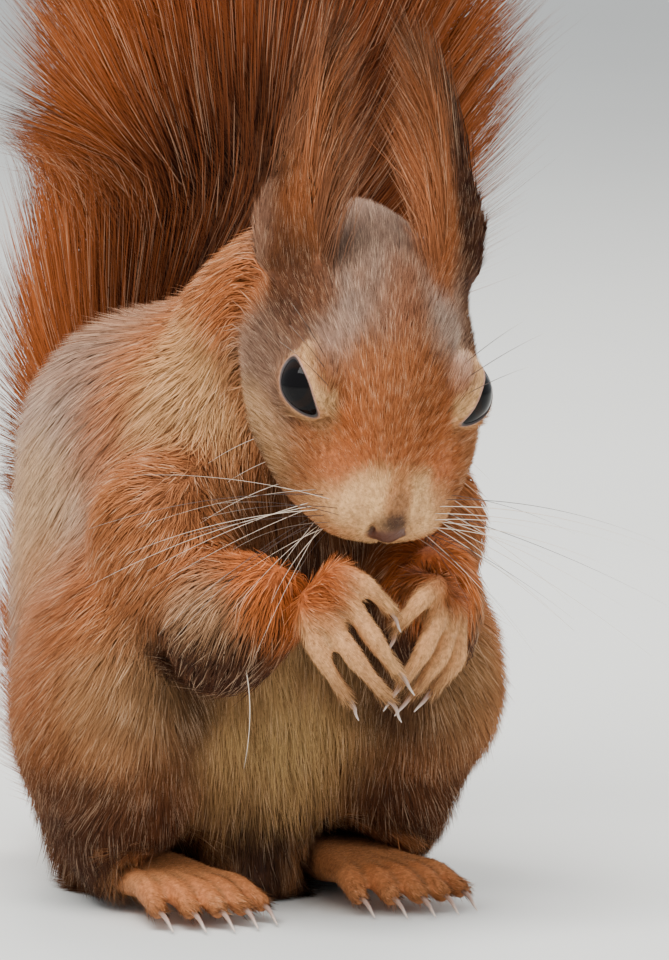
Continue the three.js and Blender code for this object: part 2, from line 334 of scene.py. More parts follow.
def weldedNode(name, growth):
    bm = bmesh.new()
    bm.from_mesh(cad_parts[name].data)
    bmesh.ops.remove_doubles(bm, verts=bm.verts, dist=1e-5)
    bmesh.ops.triangulate(bm, faces=bm.faces)
    bm.normal_update()
    points = np.array([vert.co + vert.normal * growth for vert in bm.verts])
    faces = np.array([[vert.index for vert in face.verts] for face in bm.faces])
    bm.free()
    return points, faces


# An ear's base, its direction to the tip and its length.
def earFrame(side):
    points = nodePoints("ear_" + side)
    middle, axis = longAxis(points, up)
    along = (points - middle) @ axis
    return middle + axis * along.min(), axis, np.ptp(along)


earFrames = {side: earFrame(side) for side in sides}


def earLeaf(side):
    points, faces = weldedNode("ear_" + side, 0)
    base, axis, _ = earFrames[side]
    along = (points - base) @ axis
    return points - np.outer(along * (1 - skinDetail["earShare"]), axis), faces


def axesAlong(path):
    ahead = unit(np.gradient(path, axis=0))
    wide = unit(tangent(np.tile(left, (len(path), 1)), ahead))
    return ahead, wide, np.cross(ahead, wide)


# The tail's bone runs through the middles of its lengths, with its breadth and depth all along.
def tailRun(count=60):
    names = flesh["tail"]["nodes"]
    points = nodePoints(*names)
    stations = [inBox("tail_1", 0, -1, -0.1)] + [boxMiddle(name) for name in names]
    stations.append(inBox("tail_5", -0.25, 0.75, 1))
    path = relax(evenly(np.array(stations), count), 40)
    breadth, depth = np.zeros(count), np.zeros(count)
    for _ in range(2):
        ahead, wide, deep = axesAlong(path)
        shift = np.zeros((count, 3))
        for i in range(count):
            away = points - path[i]
            near = (np.abs(away @ ahead[i]) < 5 * mm) & (np.linalg.norm(away, axis=1) < 60 * mm)
            if near.sum() < 6:
                breadth[i], depth[i] = breadth[i - 1] * 0.7, depth[i - 1] * 0.7
                continue
            sideways, outward = away[near] @ wide[i], away[near] @ deep[i]
            breadth[i] = np.ptp(sideways) / 2
            depth[i] = np.ptp(outward) / 2
            shift[i] = (wide[i] * (sideways.max() + sideways.min()) / 2
                        + deep[i] * (outward.max() + outward.min()) / 2)
        path = path + relax(shift, 12)
    sizes = relax(np.stack([breadth, depth], 1), 45)
    path = evenly(np.concatenate([relax(path, 16), sizes], 1), count)
    breadth, depth = path[:, 3] * skinDetail["tailFuller"], path[:, 4]
    return path[:, :3], *axesAlong(path[:, :3]), breadth, depth


tailPath, tailAhead, tailWide, tailDeep, tailBreadth, tailDepth = tailRun()


def tubeAlong(path, wide, deep, radii, around=12, squash=1.0):
    angles = np.linspace(0, 2 * math.pi, around, endpoint=False)
    rings = (path[:, None] + (wide[:, None] * np.cos(angles)[None, :, None]
             + deep[:, None] * np.sin(angles)[None, :, None] * squash) * radii[:, None, None])
    return np.concatenate([rings.reshape(-1, 3), path[:1], path[-1:]]), tubeFaces(len(path), around)


# How thick the tail's core is at least, and how far it is filled, at shares of its length.
def coreAt(share):
    thin = (skinDetail["tailCore"] * (1 - share) + skinDetail["tailCoreTip"] * share) * mm
    return thin, smooth(0.0, 0.16, share) * smooth(1.0, 0.86, share)


def tailCore():
    share = np.linspace(0, 1, len(tailPath))
    thin, full = coreAt(share)
    thinner = thin * np.where(share > 0.9, 1 - (share - 0.9) * 4, 1)
    radii = np.maximum(tailBreadth * skinDetail["tailShare"] * full, thinner)
    squash = np.maximum(tailDepth * skinDetail["tailShare"] * full, thin) / radii
    return tubeAlong(tailPath[:-3], tailWide[:-3], (tailDeep * squash[:, None])[:-3], radii[:-3], 20)


# Fingers and toes end at their claws' roots. The knuckle and the bend of each finger are given
# from there, in mm.
pawJoints = {
    ("hand", "right"): [((-6.5, 4, 5.5), (-3.3, 0.2, 3.5)), ((-6.8, 4, 11.3), (-3.3, -0.3, 4.3)),
                        ((-8.4, 3.5, 12.3), (-5.7, -0.8, 6.3)), ((-4.8, 3.7, 12.6), (-4.6, 0, 7))],
    ("hand", "left"): [((8.2, 2.5, 5.5), (3.2, -1.2, 3.7)), ((6.5, 1.2, 9.2), (2.4, -1.8, 4.4)),
                       ((7.8, 2.8, 11.6), (4.2, 0, 4.6)), ((5.4, 3.4, 10.6), (3.6, -0.4, 3.8))],
}
digit = {"hand": (1.7, 1.6, 1.25), "foot": (2.05, 2.0, 1.7)}  # radii at its three joints
palm = {"hand": 2.35, "foot": 3.6}  # radius where a digit leaves the paw
toe = {  # how far it has spread sideways, mm behind the foot's end or the claw, mm over the floor
    "start": (0.3, -6, 5.0), "knuckle": (0.62, 17.5, 5.0), "bend": (0.88, 5.6, 4.9),
    "lowest": 1.9,  # of a claw's root
}


def clawLine(node, paw):
    points = nodePoints(node)
    middle, axis = longAxis(points, points.mean(0) - boxMiddle(paw))
    return middle + axis * ((points - middle) @ axis).min(), axis


def ballPoints():
    bm = bmesh.new()
    bmesh.ops.create_icosphere(bm, subdivisions=2, radius=1)
    points = np.array([vert.co[:] for vert in bm.verts])
    faces = np.array([[vert.index for vert in face.verts] for face in bm.faces])
    bm.free()
    return points, faces


ballShape, ballFaces = ballPoints()


# A round-ended digit, as balls along a curve: a station is x, y, z and its radius.
def roundTube(stations, balls=44):
    curve = relax(evenly(np.array(stations), balls), 12)
    return joined([(ballShape * station[3] + station[:3], ballFaces) for station in curve])


def toePlace(joint, middle, root, line):
    fan, back, height = toe[joint]
    return np.array((middle[0] + (root[0] - middle[0]) * fan, line + back * mm, height * mm))


def wristOf(side):
    return inBox("forearm_" + side, 0.75 * -sides[side], -0.9, 0.35)


def pawFlesh(limb, side):
    paw = limb + "_" + side
    low, high = (np.array(corner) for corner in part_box(paw))
    middle = (low + high) / 2
    names = sorted(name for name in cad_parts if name.startswith(limb + "_claw_" + side))
    radii = np.array(digit[limb]) * mm
    tubes = []
    for index, name in enumerate(names):
        root, axis = clawLine(name, paw)
        root = root + axis * 0.3 * mm
        if limb == "hand":
            start = wristOf(side)
            knuckle, bend = (root + np.array(offset) * mm for offset in pawJoints[limb, side][index])
        else:
            start, knuckle, bend = (toePlace(joint, middle, root, line) for joint, line in (
                ("start", high[1]), ("knuckle", low[1]), ("bend", root[1])))
            root = np.array((root[0], root[1], max(root[2], toe["lowest"] * mm)))
        width = palm[limb] * mm
        joint = (knuckle + bend) / 2 + up * 0.15 * mm
        tubes.append(roundTube([
            (*start, width), (*(start * 0.5 + knuckle * 0.5), width * 0.88), (*knuckle, radii[0] * 1.12),
            (*joint, radii[0] * 0.92), (*bend, radii[1] * 1.08), (*((bend + root) / 2), radii[2] * 0.95),
            (*root, radii[2])]))
    return joined(tubes)


def joined(meshes):
    points, faces, start = [], [], 0
    for some, triangles in meshes:
        points.append(some)
        faces.append(triangles + start)
        start += len(some)
    return np.concatenate(points), np.concatenate(faces)


def grownFlesh(wanted, growth):
    meshes, owner = [], []
    for part in wanted:
        if part.startswith("ear"):
            meshes.append(earLeaf(part[3:].lower()))
        elif part == "tail":
            meshes.append(tailCore())
        elif part.startswith(("hand", "foot")):
            meshes.append(pawFlesh(part[:4], part[4:].lower()))
        else:
            names = flesh[part]["nodes"] + (("eye_right", "eye_left") if part == "head" else ())
            meshes += [weldedNode(name, growth * mm) for name in names]
        owner += [parts.index(part)] * (sum(len(faces) for _, faces in meshes) - len(owner))
    return (*joined(meshes), np.array(owner))


class Net:  # which points of a mesh are neighbours
    def __init__(self, mesh):
        ends = np.empty(len(mesh.edges) * 2, np.int32)
        mesh.edges.foreach_get("vertices", ends)
        ends = ends.reshape(-1, 2)
        both = np.concatenate([ends, ends[:, ::-1]])
        both = both[np.argsort(both[:, 0], kind="stable")]
        self.near = both[:, 1]
        self.starts = np.searchsorted(both[:, 0], np.arange(len(mesh.vertices)))
        self.count = np.bincount(both[:, 0], minlength=len(mesh.vertices))

    def mean(self, values):
        total = np.add.reduceat(values[self.near], self.starts, axis=0)
        return (total.T / self.count).T

    def spread(self, values, rounds, pull=0.5):
        for _ in range(rounds):
            values = values + ((self.mean(values) - values).T * pull).T
        return values


def pointNormals(points, faces):
    normals = np.zeros_like(points)
    flat = faceCrosses(points, faces)
    for corner in range(3):
        for axis in range(3):
            normals[:, axis] += np.bincount(faces[:, corner], flat[:, axis], len(points))
    return unit(normals)


def trianglesOf(mesh):
    mesh.calc_loop_triangles()
    faces = np.empty(len(mesh.loop_triangles) * 3, np.int32)
    mesh.loop_triangles.foreach_get("vertices", faces)
    return faces.reshape(-1, 3)


def treeOf(points, faces):
    return BVHTree.FromPolygons([tuple(p) for p in points.tolist()],
                                [tuple(f) for f in faces.tolist()])


def nearestOn(tree, points):
    places, normals = np.empty((len(points), 3)), np.empty((len(points), 3))
    faces = np.empty(len(points), np.int32)
    for i, point in enumerate(points.tolist()):
        place, normal, face, _ = tree.find_nearest(point)
        places[i], normals[i], faces[i] = place, normal, face
    return places, normals, faces


def remeshed(points, faces, voxel):
    piece = pieceFrom("flesh", meshFrom("flesh", points, faces))
    change = piece.modifiers.new("grown", "REMESH")
    change.mode, change.voxel_size = "VOXEL", voxel * mm
    mesh = bpy.data.meshes.new_from_object(
        piece.evaluated_get(bpy.context.evaluated_depsgraph_get()))
    bpy.data.objects.remove(piece)
    return mesh


pawParts = [part for part in parts if part.startswith(("hand", "foot"))]
bodyParts = [part for part in parts if part not in pawParts]
bodyFlesh = grownFlesh(bodyParts, skinDetail["overlap"])
pawsFlesh = grownFlesh(pawParts, 0.0)
grown = remeshed(*bodyFlesh[:2], skinDetail["voxel"])
grownPaws = remeshed(*pawsFlesh[:2], skinDetail["pawVoxel"])
print("flesh grown together:", len(grown.vertices), "and", len(grownPaws.vertices), "points")


# Finer faces where the eyes and the nose need them.
def refine(mesh, spots):
    for centre, reach in spots:
        bm = bmesh.new()
        bm.from_mesh(mesh)
        middle = Vector(centre)
        edges = {edge for face in bm.faces if (face.calc_center_median() - middle).length < reach * mm
                 for edge in face.edges}
        bmesh.ops.subdivide_edges(bm, edges=list(edges), cuts=1, use_grid_fill=True)
        bmesh.ops.triangulate(bm, faces=[face for face in bm.faces if len(face.verts) > 4])
        bm.to_mesh(mesh)
        bm.free()


refine(grown, [(eyeCentre["right"], 10), (eyeCentre["left"], 10), (onHead(21, 0, -5), 8.5)])
pawStart = len(grown.vertices)
skinPoints, skinFaces = joined([(pointsOf(grown), trianglesOf(grown)),
                                (pointsOf(grownPaws), trianglesOf(grownPaws))])
skinMesh = meshFrom("skin", skinPoints, skinFaces)
net = Net(skinMesh)
fullTree = treeOf(skinPoints, skinFaces)
fleshOwner = np.concatenate([bodyFlesh[2], pawsFlesh[2]])
nearFace = np.concatenate([
    nearestOn(treeOf(*bodyFlesh[:2]), skinPoints[:pawStart])[2],
    nearestOn(treeOf(*pawsFlesh[:2]), skinPoints[pawStart:])[2] + len(bodyFlesh[1])])
member = np.eye(len(parts))[fleshOwner[nearFace]]
member = net.spread(member, 14)
rounding = member @ np.array([flesh[part]["round"] for part in parts])
skinPoints = net.spread(skinPoints, skinDetail["rounds"], rounding * 0.5)
depth = net.spread(member @ np.array([flesh[part]["depth"] for part in parts]), 10) * mm
floorGap = smooth(0, skinDetail["floorReach"] * mm, skinPoints[:, 2])
depth = depth * (skinDetail["pressed"] + (1 - skinDetail["pressed"]) * floorGap)
normals = net.spread(pointNormals(skinPoints, skinFaces), 6)
skinPoints = skinPoints - unit(normals) * depth[:, None]
skinPoints = net.spread(skinPoints, 8, rounding * 0.5)
# Rounding has shrunk the flesh too: its broad parts are filled out again, to the coat's depth.
outward = unit(normals)
short = ((nearestOn(fullTree, skinPoints)[0] - skinPoints) * outward).sum(1) - depth
broad = 1 - sum(member[:, parts.index(part)] for part in parts
                if part.startswith(("head", "ear", "hand", "foot", "tail")))
short = net.spread(np.clip(short, 0, skinDetail["fillOut"] * mm) * broad, 12)
skinPoints = skinPoints + outward * short[:, None]

# Where the coat is fuller than the solids: a place on a node in mm, its reach and the height.
fuller = [("trunk", (-20, 16, 30), (24, 24, 24), 2.6), ("trunk", (30, -2, -6), (14, 28, 36), 2.4),
          ("thigh_left", (12, -2, 0), (9, 20, 24), 1.6), ("thigh_right", (-12, 0, -8), (9, 18, 18), 0.8)]
for node, place, reach, height in fuller:
    away = (skinPoints - boxMiddle(node)) / mm - np.array(place)
    share = smooth(1, 0.2, np.linalg.norm(away / np.array(reach), axis=1)) * broad
    skinPoints = skinPoints + outward * (share * height * mm)[:, None]
print("skin drawn in,", len(skinFaces), "triangles")


# Eyes: the openings of the lids are almonds that lie along the head, on the balls of the eyes.

eyeLook = {
    "halfLength": 5.7,  # mm along the head, over the ball
    "halfHeight": 2.5,
    "forward": 0.75,  # how far the opening lies ahead of the ball's middle
    "lean": 0.35,  # how far the front corner lies above the middle
    "lid": 0.22,  # how far the skin round the opening stands over the ball
    "hood": 0.3,  # how much further the brow stands
    "crease": 0.2,  # how deep the crease under the brow is
    "sunk": 1.0,  # how far inside the ball the skin passes
    "clear": 0.16,  # the least that it stands over the ball elsewhere
    "facing": (0.80, 0.30, 0.52),  # sideways, ahead and up
}


def eyeFrame(side):
    sideways, ahead, above = eyeLook["facing"]
    outward = unit(headLeft * sides[side] * sideways + headAhead * ahead + headUp * above)
    along = unit(tangent(headAhead, outward))
    above = unit(np.cross(along, outward) * -sides[side])
    if above @ headUp < 0:
        above = -above
    return outward, along, above


eyeFrames = {side: np.array(eyeFrame(side)) for side in sides}


# The opening's half height and the rise of its middle line, at shares of its half length.
def openingShape(share):
    pointed = 1 - 0.26 * smooth(-0.2, 1.15, share) - 0.10 * smooth(0.0, 1.0, -share)
    return eyeLook["halfHeight"] * mm * pointed, eyeLook["lean"] * mm * smooth(-0.6, 1.2, share)


# Places round an eye, as arcs on its ball: distance, along, above, and 1 at the opening's edge.
def eyePlaces(side, points):
    outward, forward, above = eyeFrames[side]
    away = points - eyeCentre[side]
    distance = np.linalg.norm(away, axis=1)
    out, a, b = (away @ axis / distance for axis in (outward, forward, above))
    arc = np.arccos(np.clip(out, -1, 1)) * eyeRadius / np.maximum(np.hypot(a, b), 1e-6)
    a, b = a * arc, b * arc
    share = (a - eyeLook["forward"] * mm) / (eyeLook["halfLength"] * mm)
    height, middle = openingShape(share)
    return distance, a, b, np.hypot(share, (b - middle) / height)


# The skin lies on the ball round the opening, stands up as a brow above it, and passes
# inside the ball where the opening is.
def fitSocket(side, points):
    distance, forward, above, share = eyePlaces(side, points)
    away = unit(points - eyeCentre[side])
    upper = smooth(-0.3, 0.7, above / (eyeLook["halfHeight"] * mm))
    ridge = smooth(1.1, 1.45, share) * smooth(2.1, 1.6, share) * upper
    crease = smooth(1.2, 1.3, share) * smooth(1.45, 1.35, share) * upper
    inside = smooth(1.07, 0.95, share)
    lid = eyeRadius + (eyeLook["lid"] + eyeLook["hood"] * ridge - eyeLook["crease"] * crease) * mm
    wanted = (eyeRadius - eyeLook["sunk"] * mm) * inside + lid * (1 - inside)
    hug = smooth(11 * mm, 8.5 * mm, np.hypot(forward, above)) * smooth(2.3, 1.5, share)
    reach = distance + (wanted - distance) * hug * (distance < eyeRadius * 1.9)
    outside = (share > 1.06) & (np.hypot(forward, above) < 9.5 * mm)
    reach = np.where(outside, np.maximum(reach, eyeRadius + eyeLook["clear"] * mm), reach)
    return eyeCentre[side] + away * reach[:, None]


for side in sides:
    skinPoints = fitSocket(side, skinPoints)


# Muzzle: whisker pads, the pad of the nose, nostrils, the furrow of the lip and the mouth.

def headShare(points, centre, reach):
    return np.linalg.norm((points - onHead(*centre)) @ headAxes.T / (np.array(reach) * mm), axis=1)


def swell(points, name, centre, direction):
    share = smooth(1, 0, headShare(points, centre, muzzle[name + "Reach"]))
    return points + direction * (share * muzzle[name + "Height"] * mm)[:, None]


headAxes = np.stack([headAhead, headLeft, headUp])
muzzle = {  # ahead, to the left and up, in mm
    "padAt": (17.0, 7.2, -5.6), "padReach": (6.5, 6, 6.5), "padHeight": 1.0,
    "noseAt": (21.4, 0.6, -5.1), "noseReach": (2.4, 3.8, 2.2), "noseHeight": 1.0,
    "nostrilAt": (20.7, 3.1, -4.3), "nostrilReach": (1.7, 0.75, 1.5), "nostrilHeight": -1.5,
    "bridgeAt": (17.5, 0.6, -1.2), "bridgeReach": (6, 3.6, 4), "bridgeHeight": 0.5,
    "middle": 0.6,  # to the left of the head's middle
    "furrow": 0.55,  # how deep the furrow of the lip is
    "mouth": 0.7,
}


def muzzleSide(name, side):
    ahead, aside, above = muzzle[name]
    return ahead, aside * sides[side] + muzzle["middle"], above


skinPoints = swell(skinPoints, "bridge", muzzle["bridgeAt"], headUp)
skinPoints = swell(skinPoints, "nose", muzzle["noseAt"], headAhead)
for side, sign in sides.items():
    outward = unit(headLeft * sign + headAhead * 0.5 - headUp * 0.1)
    skinPoints = swell(skinPoints, "pad", muzzleSide("padAt", side), outward)
    outward = unit(headAhead + headLeft * sign * 0.8 + headUp * 0.3)
    skinPoints = swell(skinPoints, "nostril", muzzleSide("nostrilAt", side), outward)
ahead, toLeft, above = headPlaces(skinPoints)
onFace = smooth(25, 23.5, ahead)  # the hands lie further ahead
furrow = smooth(0.75, 0, np.abs(toLeft - muzzle["middle"])) * smooth(-6.6, -7.6, above)
furrow = furrow * smooth(16, 19, ahead) * onFace
skinPoints = skinPoints - headAhead * (furrow * muzzle["furrow"] * mm)[:, None]
mouthLine = above + 11.2 + 0.05 * toLeft ** 2 - (ahead - 18) * 0.25
mouth = smooth(0.8, 0, np.abs(mouthLine)) * smooth(9, 12, ahead) * smooth(9.5, 7.5, np.abs(toLeft)) * onFace
skinPoints = (skinPoints + headUp * (mouth * 0.2 * mm)[:, None]
              - headAhead * (mouth * muzzle["mouth"] * mm)[:, None])
print("eye sockets and muzzle shaped")

skinNormals = pointNormals(skinPoints, skinFaces)
softNormals = unit(net.spread(skinNormals, 6))
pawShare = sum(member[:, parts.index(part)] for part in pawParts)
hollowness = ((net.mean(skinPoints) - skinPoints) * skinNormals).sum(1)
crease = net.spread(smooth(0.006 * mm, 0.04 * mm, hollowness), 2) * pawShare  # painted shade in the hollows between the digits
skinTree = treeOf(skinPoints, skinFaces)


# The lie of the coat: which way the hair runs over each part.

earAxis = {side: earFrames[side][1] for side in sides}
noseTip = onHead(25, 0, -4)


straightRuns = {  # down, back and outwards, where the hair of a part all runs one way
    "arm": (0.9, 0.5, 0.25),
    "thigh": (1, 0.42, 0.2),
    "shank": (0.8, -0.35, 0.1),
    "foot": (0.12, -1, 0),
    "tail": (-1, 0, 0),
}


def lieOf(part, points):
    kind = part.removesuffix("Right").removesuffix("Left")
    side = "right" if part.endswith("Right") else "left"
    outward = left * sides[side]
    every = lambda direction: np.tile(unit(direction), (len(points), 1))
    if kind in straightRuns:
        down, back, out = straightRuns[kind]
        return every(-up * down + rear * back + outward * out)
    if part == "head":
        _, toLeft, above = headPlaces(points)
        lie = unit(points - noseTip) - headAhead * 0.35
        sideways = np.sign(toLeft) * smooth(0, 9, np.abs(toLeft)) * smooth(6, -12, above)
        lie = lie + headLeft * (sideways * 0.5)[:, None]
        return lie - up * (smooth(0, -14, above) * 0.9)[:, None]
    if part == "neck":
        front = smooth(0, -15 * mm, points[:, 1] - boxMiddle("neck")[1])
        return every((0, 0.7, -0.75)) - up * (front * 0.8)[:, None]
    if part == "trunk":
        middle = boxMiddle("trunk")
        out = points - middle
        out[:, 2] = 0
        low = smooth(26 * mm, 4 * mm, points[:, 2])
        return every(-up) + rear * 0.12 + unit(out) * (low * 0.8)[:, None]
    if kind == "forearm":
        wrist, elbow = boxMiddle("hand_" + side), boxMiddle("upper_arm_" + side)
        share = smooth(0.75, 0.15, (points - wrist) @ unit(elbow - wrist) / np.linalg.norm(elbow - wrist))
        toElbow = unit((elbow - wrist) * (1, 1, 0))
        return every(-up) + toElbow * (0.25 + 0.55 * (1 - share))[:, None] + outward * 0.12
    if kind == "hand":
        wrist = inBox("forearm_" + side, 0, -0.8, 0.4)
        return every(inBox("hand_" + side, 0.5 * -sides[side], -0.6, -1) - wrist)
    return every(earAxis[side])


lie = np.zeros_like(skinPoints)
for index, part in enumerate(parts):
    lie += unit(lieOf(part, skinPoints)) * member[:, index:index + 1]
lie = unit(tangent(lie, softNormals))
for _ in range(14):
    lie = unit(tangent(net.mean(lie) * 0.6 + lie * 0.4, softNormals))
print("the coat's lie worked out")


# Markings and painted shade, from places on the body: each patch names its tone, its middle, its reach in mm
# along the axes that it is set on, how strong it is and how soft its edge is. Later patches
# cover earlier ones.

bodyAxes = np.stack([left, rear, up])
tones = ("grey", "orange", "dark", "pale", "creamInShade")


def patch(tone, middle, reach, strength, edge=0.5, axes=bodyAxes):
    return tone, np.asarray(middle), np.asarray(reach) * mm, strength, axes, edge


def headPatch(tone, middle, reach, strength, edge):
    return patch(tone, onHead(*middle), reach, strength, edge, headAxes)


def near(node, x, y, z):
    return boxMiddle(node) + np.array((x, y, z)) * mm


patches = [
    # back, flanks and belly
    patch("grey", inBox("trunk", 0, 0.5, 0.2), (40, 34, 46), 0.4, 0.9),
    patch("dark", inBox("trunk", 0, 0.7, 0.4), (34, 26, 50), 0.2, 1.0),
    patch("grey", near("trunk", -26, 6, 15), (14, 23, 22), 0.8, 1.2),
    patch("pale", near("trunk", -29, 3, 15), (10, 14, 13), 0.36, 1.2),
    patch("grey", near("trunk", 27, 4, 12), (14, 22, 22), 0.5, 0.9),
    patch("orange", near("trunk", -15, -17, 30), (14, 14, 14), 0.45, 0.9),
    patch("orange", near("trunk", 20, -14, 20), (12, 16, 22), 0.3, 0.9),
    patch("grey", near("trunk", -27, -2, -8), (12, 18, 10), 0.5, 1.2),
    patch("dark", near("trunk", -27, -2, -8), (12, 18, 10), 0.36, 1.2),
    patch("dark", near("trunk", -5, -31, 15), (9, 8, 8), 0.5, 0.9),
    # the cream belly in the duller tone it has in shade: partly its own colour, partly painted shade
    patch("creamInShade", near("trunk", -1, -25, -14), (18, 17, 14), 0.9, 0.9),
    patch("creamInShade", near("trunk", 0, -25, -29), (13, 16, 15), 0.9, 0.8),
    patch("dark", near("trunk", 9, -31, 5), (16, 12, 11), 0.92, 0.8),
    # painted shadow between the thighs, low on the belly
    patch("dark", near("trunk", 1, -20, -44), (15, 14, 12), 0.95, 0.8),
    patch("orange", inBox("neck", -0.2, -0.2, 0.1), (24, 18, 18), 0.3, 0.9),
    patch("pale", inBox("neck", -0.9, -0.3, -0.3), (8, 10, 10), 0.52, 1.1),
    # head
    headPatch("orange", (6, 0, 5), (15, 12, 9), 0.5, 0.9),
    headPatch("grey", (-22, 0, 6), (18, 14, 15), 0.84, 1.0),
    headPatch("dark", (-19, 0, 6), (20, 14, 15), 0.42, 1.2),
    headPatch("dark", (-15, -13, 5), (10, 6.5, 9), 0.74, 1.1),
    headPatch("dark", (-13, 15, 3), (9, 5, 8), 0.5, 1.1),
    headPatch("grey", (-11, 11, 7), (12, 6, 8), 0.7, 0.9),
    headPatch("orange", (-9, 1.5, 8), (9, 3.5, 6), 0.35, 1.2),
    headPatch("grey", (-9, -9, 7), (10, 4, 5), 0.45, 0.9),
    headPatch("grey", (-5, -17, -5), (11, 6, 7.5), 0.5, 1.1),
    headPatch("dark", (-5, -17, -3), (10, 5, 6), 0.34, 1.1),
    headPatch("orange", (12, 8.5, 1), (7, 5, 6), 0.45, 0.9),
    headPatch("orange", (12, -8.5, 1), (7, 5, 6), 0.45, 0.9),
    headPatch("orange", (-22, -16, -4), (7, 5, 10), 0.5, 0.9),
    headPatch("pale", (4, -15, -10), (9, 5, 6), 0.4, 0.9),
    # painted shade low on the cheeks, by the whisker pads and the jaw
    headPatch("dark", (7, -13, -13.5), (9, 6, 6), 0.75, 1.0),
    headPatch("dark", (7, 13, -13.5), (9, 6, 6), 0.75, 1.0),
    headPatch("pale", (17.5, 0, -7), (7, 12, 7), 0.95, 0.6),
    headPatch("pale", (18, 0, 0), (5.4, 8, 3.6), 0.9, 0.8),
    headPatch("orange", (17.5, 0, -5), (9, 14, 10), 0.14, 0.6),
    headPatch("orange", (17.5, 0.8, 0), (6, 2.2, 4), 0.6, 0.9),
    headPatch("dark", (19, 1.0, -1), (4.4, 1.7, 3.2), 0.45, 0.9),
    headPatch("dark", (20.8, 0.6, -2.9), (2.8, 3.2, 2.0), 0.85, 0.9),
    # painted shade in the creases beside the bridge of the nose
    headPatch("dark", (18.5, 4.6, -3), (4, 0.9, 3.4), 0.24, 1.3),
    headPatch("dark", (18.5, -4.4, -3), (4, 0.9, 3.4), 0.24, 1.3),
    headPatch("orange", (15, 9, -6), (3.5, 4, 3), 0.3, 1.3),
    headPatch("orange", (15, -9, -6), (3.5, 4, 3), 0.3, 1.3),
]
patches += [item for side, sign in sides.items() for item in (
    patch("pale", np.array((1.5, 0.9, 2.8)) @ eyeFrames[side] * mm + eyeCentre[side],
          (5, 5.3, 1.25), 0.66, 0.9, eyeFrames[side]),
    patch("pale", np.array((1.5, 0.75, 0.4)) @ eyeFrames[side] * mm + eyeCentre[side],
          (6, 6.2, 3.2), 0.35, 0.6, eyeFrames[side]),
    # ears
    patch("orange", inBox("ear_" + side, 0, 0, 0.12), (7.5, 8.5, 23), 0.9, 0.7),
    patch("dark", inBox("ear_" + side, 0, 0, 0.12), (7.5, 8.5, 23), 0.66, 0.7),
    patch("orange", inBox("ear_" + side, -0.4 * sign, -0.2, -0.5), (4, 7, 12), 0.5, 0.9),
    # arms and hands
    patch("orange", inBox("upper_arm_" + side, 0.6 * sign, -0.2, 0.2), (14, 13, 15), 0.3, 0.9),
    patch("orange", inBox("forearm_" + side, -0.5 * sign, -0.5, 0.7), (11, 14, 9), 0.95, 0.9),
    patch("dark", inBox("forearm_" + side, -0.4 * sign, -0.5, 0.7), (9, 12, 8), 0.25, 1.2),
    patch("grey", near("forearm_" + side, 4 * sign, -3, 2), (5, 8, 5), 0.5, 0.9),
    patch("pale", near("forearm_" + side, 4 * sign, -3, 2), (5, 8, 5), 0.25, 0.9),
    # painted shade under the forearms and on their lower sides towards the body
    patch("dark", inBox("forearm_" + side, -0.1 * sign, 0.0, -0.85), (22, 20, 13), 0.92, 0.8),
    patch("dark", inBox("forearm_" + side, -0.9 * sign, 0.2, -0.3), (5, 12, 8), 0.7),
    patch("pale", near("hand_" + side, 0, -4, -2), (13, 8.5, 15), 0.95, 0.5),
    patch("orange", near("hand_" + side, 0, -4, -2), (13, 8.5, 15), 0.5, 0.5),
    patch("orange", near("hand_" + side, 5 * sign, 4, 8), (7.6, 9.5, 7.6), 1.0, 1.0),
    patch("dark", near("hand_" + side, -2 * sign, 2, -10), (9, 9, 3.4), 0.35, 0.9),
    # legs and feet
    patch("orange", inBox("thigh_" + side, 0.6 * sign, 0.3, 0.6), (15, 20, 14), 0.4, 0.9),
    patch("pale", near("thigh_" + side, 3 * sign, -14, 2), (7, 8, 11), 0.22, 1.2),
    patch("dark", near("thigh_" + side, -9 * sign, -15, -10), (7, 9, 14), 0.45, 0.9),
    patch("orange", near("shank_" + side, 6 * sign, 2, 5), (14, 24, 20), 0.5, 1.0),
    # painted shade low on the legs, under the thighs
    patch("dark", near("shank_" + side, 4 * sign, 12, 0), (22, 28, 19), 0.8, 1.5),
    patch("dark", near("shank_" + side, 2 * sign, -2, 4), (15, 18, 14), 0.7, 1.4),
    patch("orange", inBox("foot_" + side, 0, -0.35, 0.2), (12, 17, 6.5), 0.85, 0.6),
    patch("pale", inBox("foot_" + side, 0, -0.4, 0.2), (12, 15, 6), 0.5, 0.9),
    patch("orange", inBox("foot_" + side, 0, -0.4, 0.2), (12, 16, 6), 0.55, 0.9),
    patch("orange", inBox("foot_" + side, 0, -0.75, 0.4), (12, 5, 6), 0.35, 0.9),
)]
patches += [  # behind the ears
    patch("dark", near("ear_left", 6.5, 1, -3), (5.5, 9, 30), 0.85),
    headPatch("dark", (-16, -12.5, 5), (8, 5, 6), 0.5, 1.2),
    headPatch("dark", (-14, 15, 2), (7, 4, 6), 0.35, 1.2),
    patch("grey", near("ear_right", -4.5, 4, -15), (2.4, 5, 15), 0.35, 0.9),
]


clawRoots = np.array([clawLine(name, limb + "_" + side)[0] for limb in ("hand", "foot") for side in sides
                      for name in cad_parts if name.startswith(limb + "_claw_" + side)])


def nearClaws(points):
    away = np.linalg.norm(points[:, None] - clawRoots[None], axis=2).min(1)
    return smooth(5 * mm, 1.5 * mm, away)


def markingsAndShadeAt(points):
    marks = {tone: np.zeros(len(points)) for tone in tones}
    wander = waves(points, 14 * mm, 4) * 0.08 + waves(points, 5 * mm, 5) * 0.05
    for tone, middle, reach, strength, axes, edge in patches:
        distance = np.linalg.norm((points - middle) @ axes.T / reach, axis=1) + wander
        share = smooth(1 + edge / 2, 1 - edge / 2, distance) * strength
        for other in tones:
            marks[other] *= 1 - share
        marks[tone] += share
    return marks


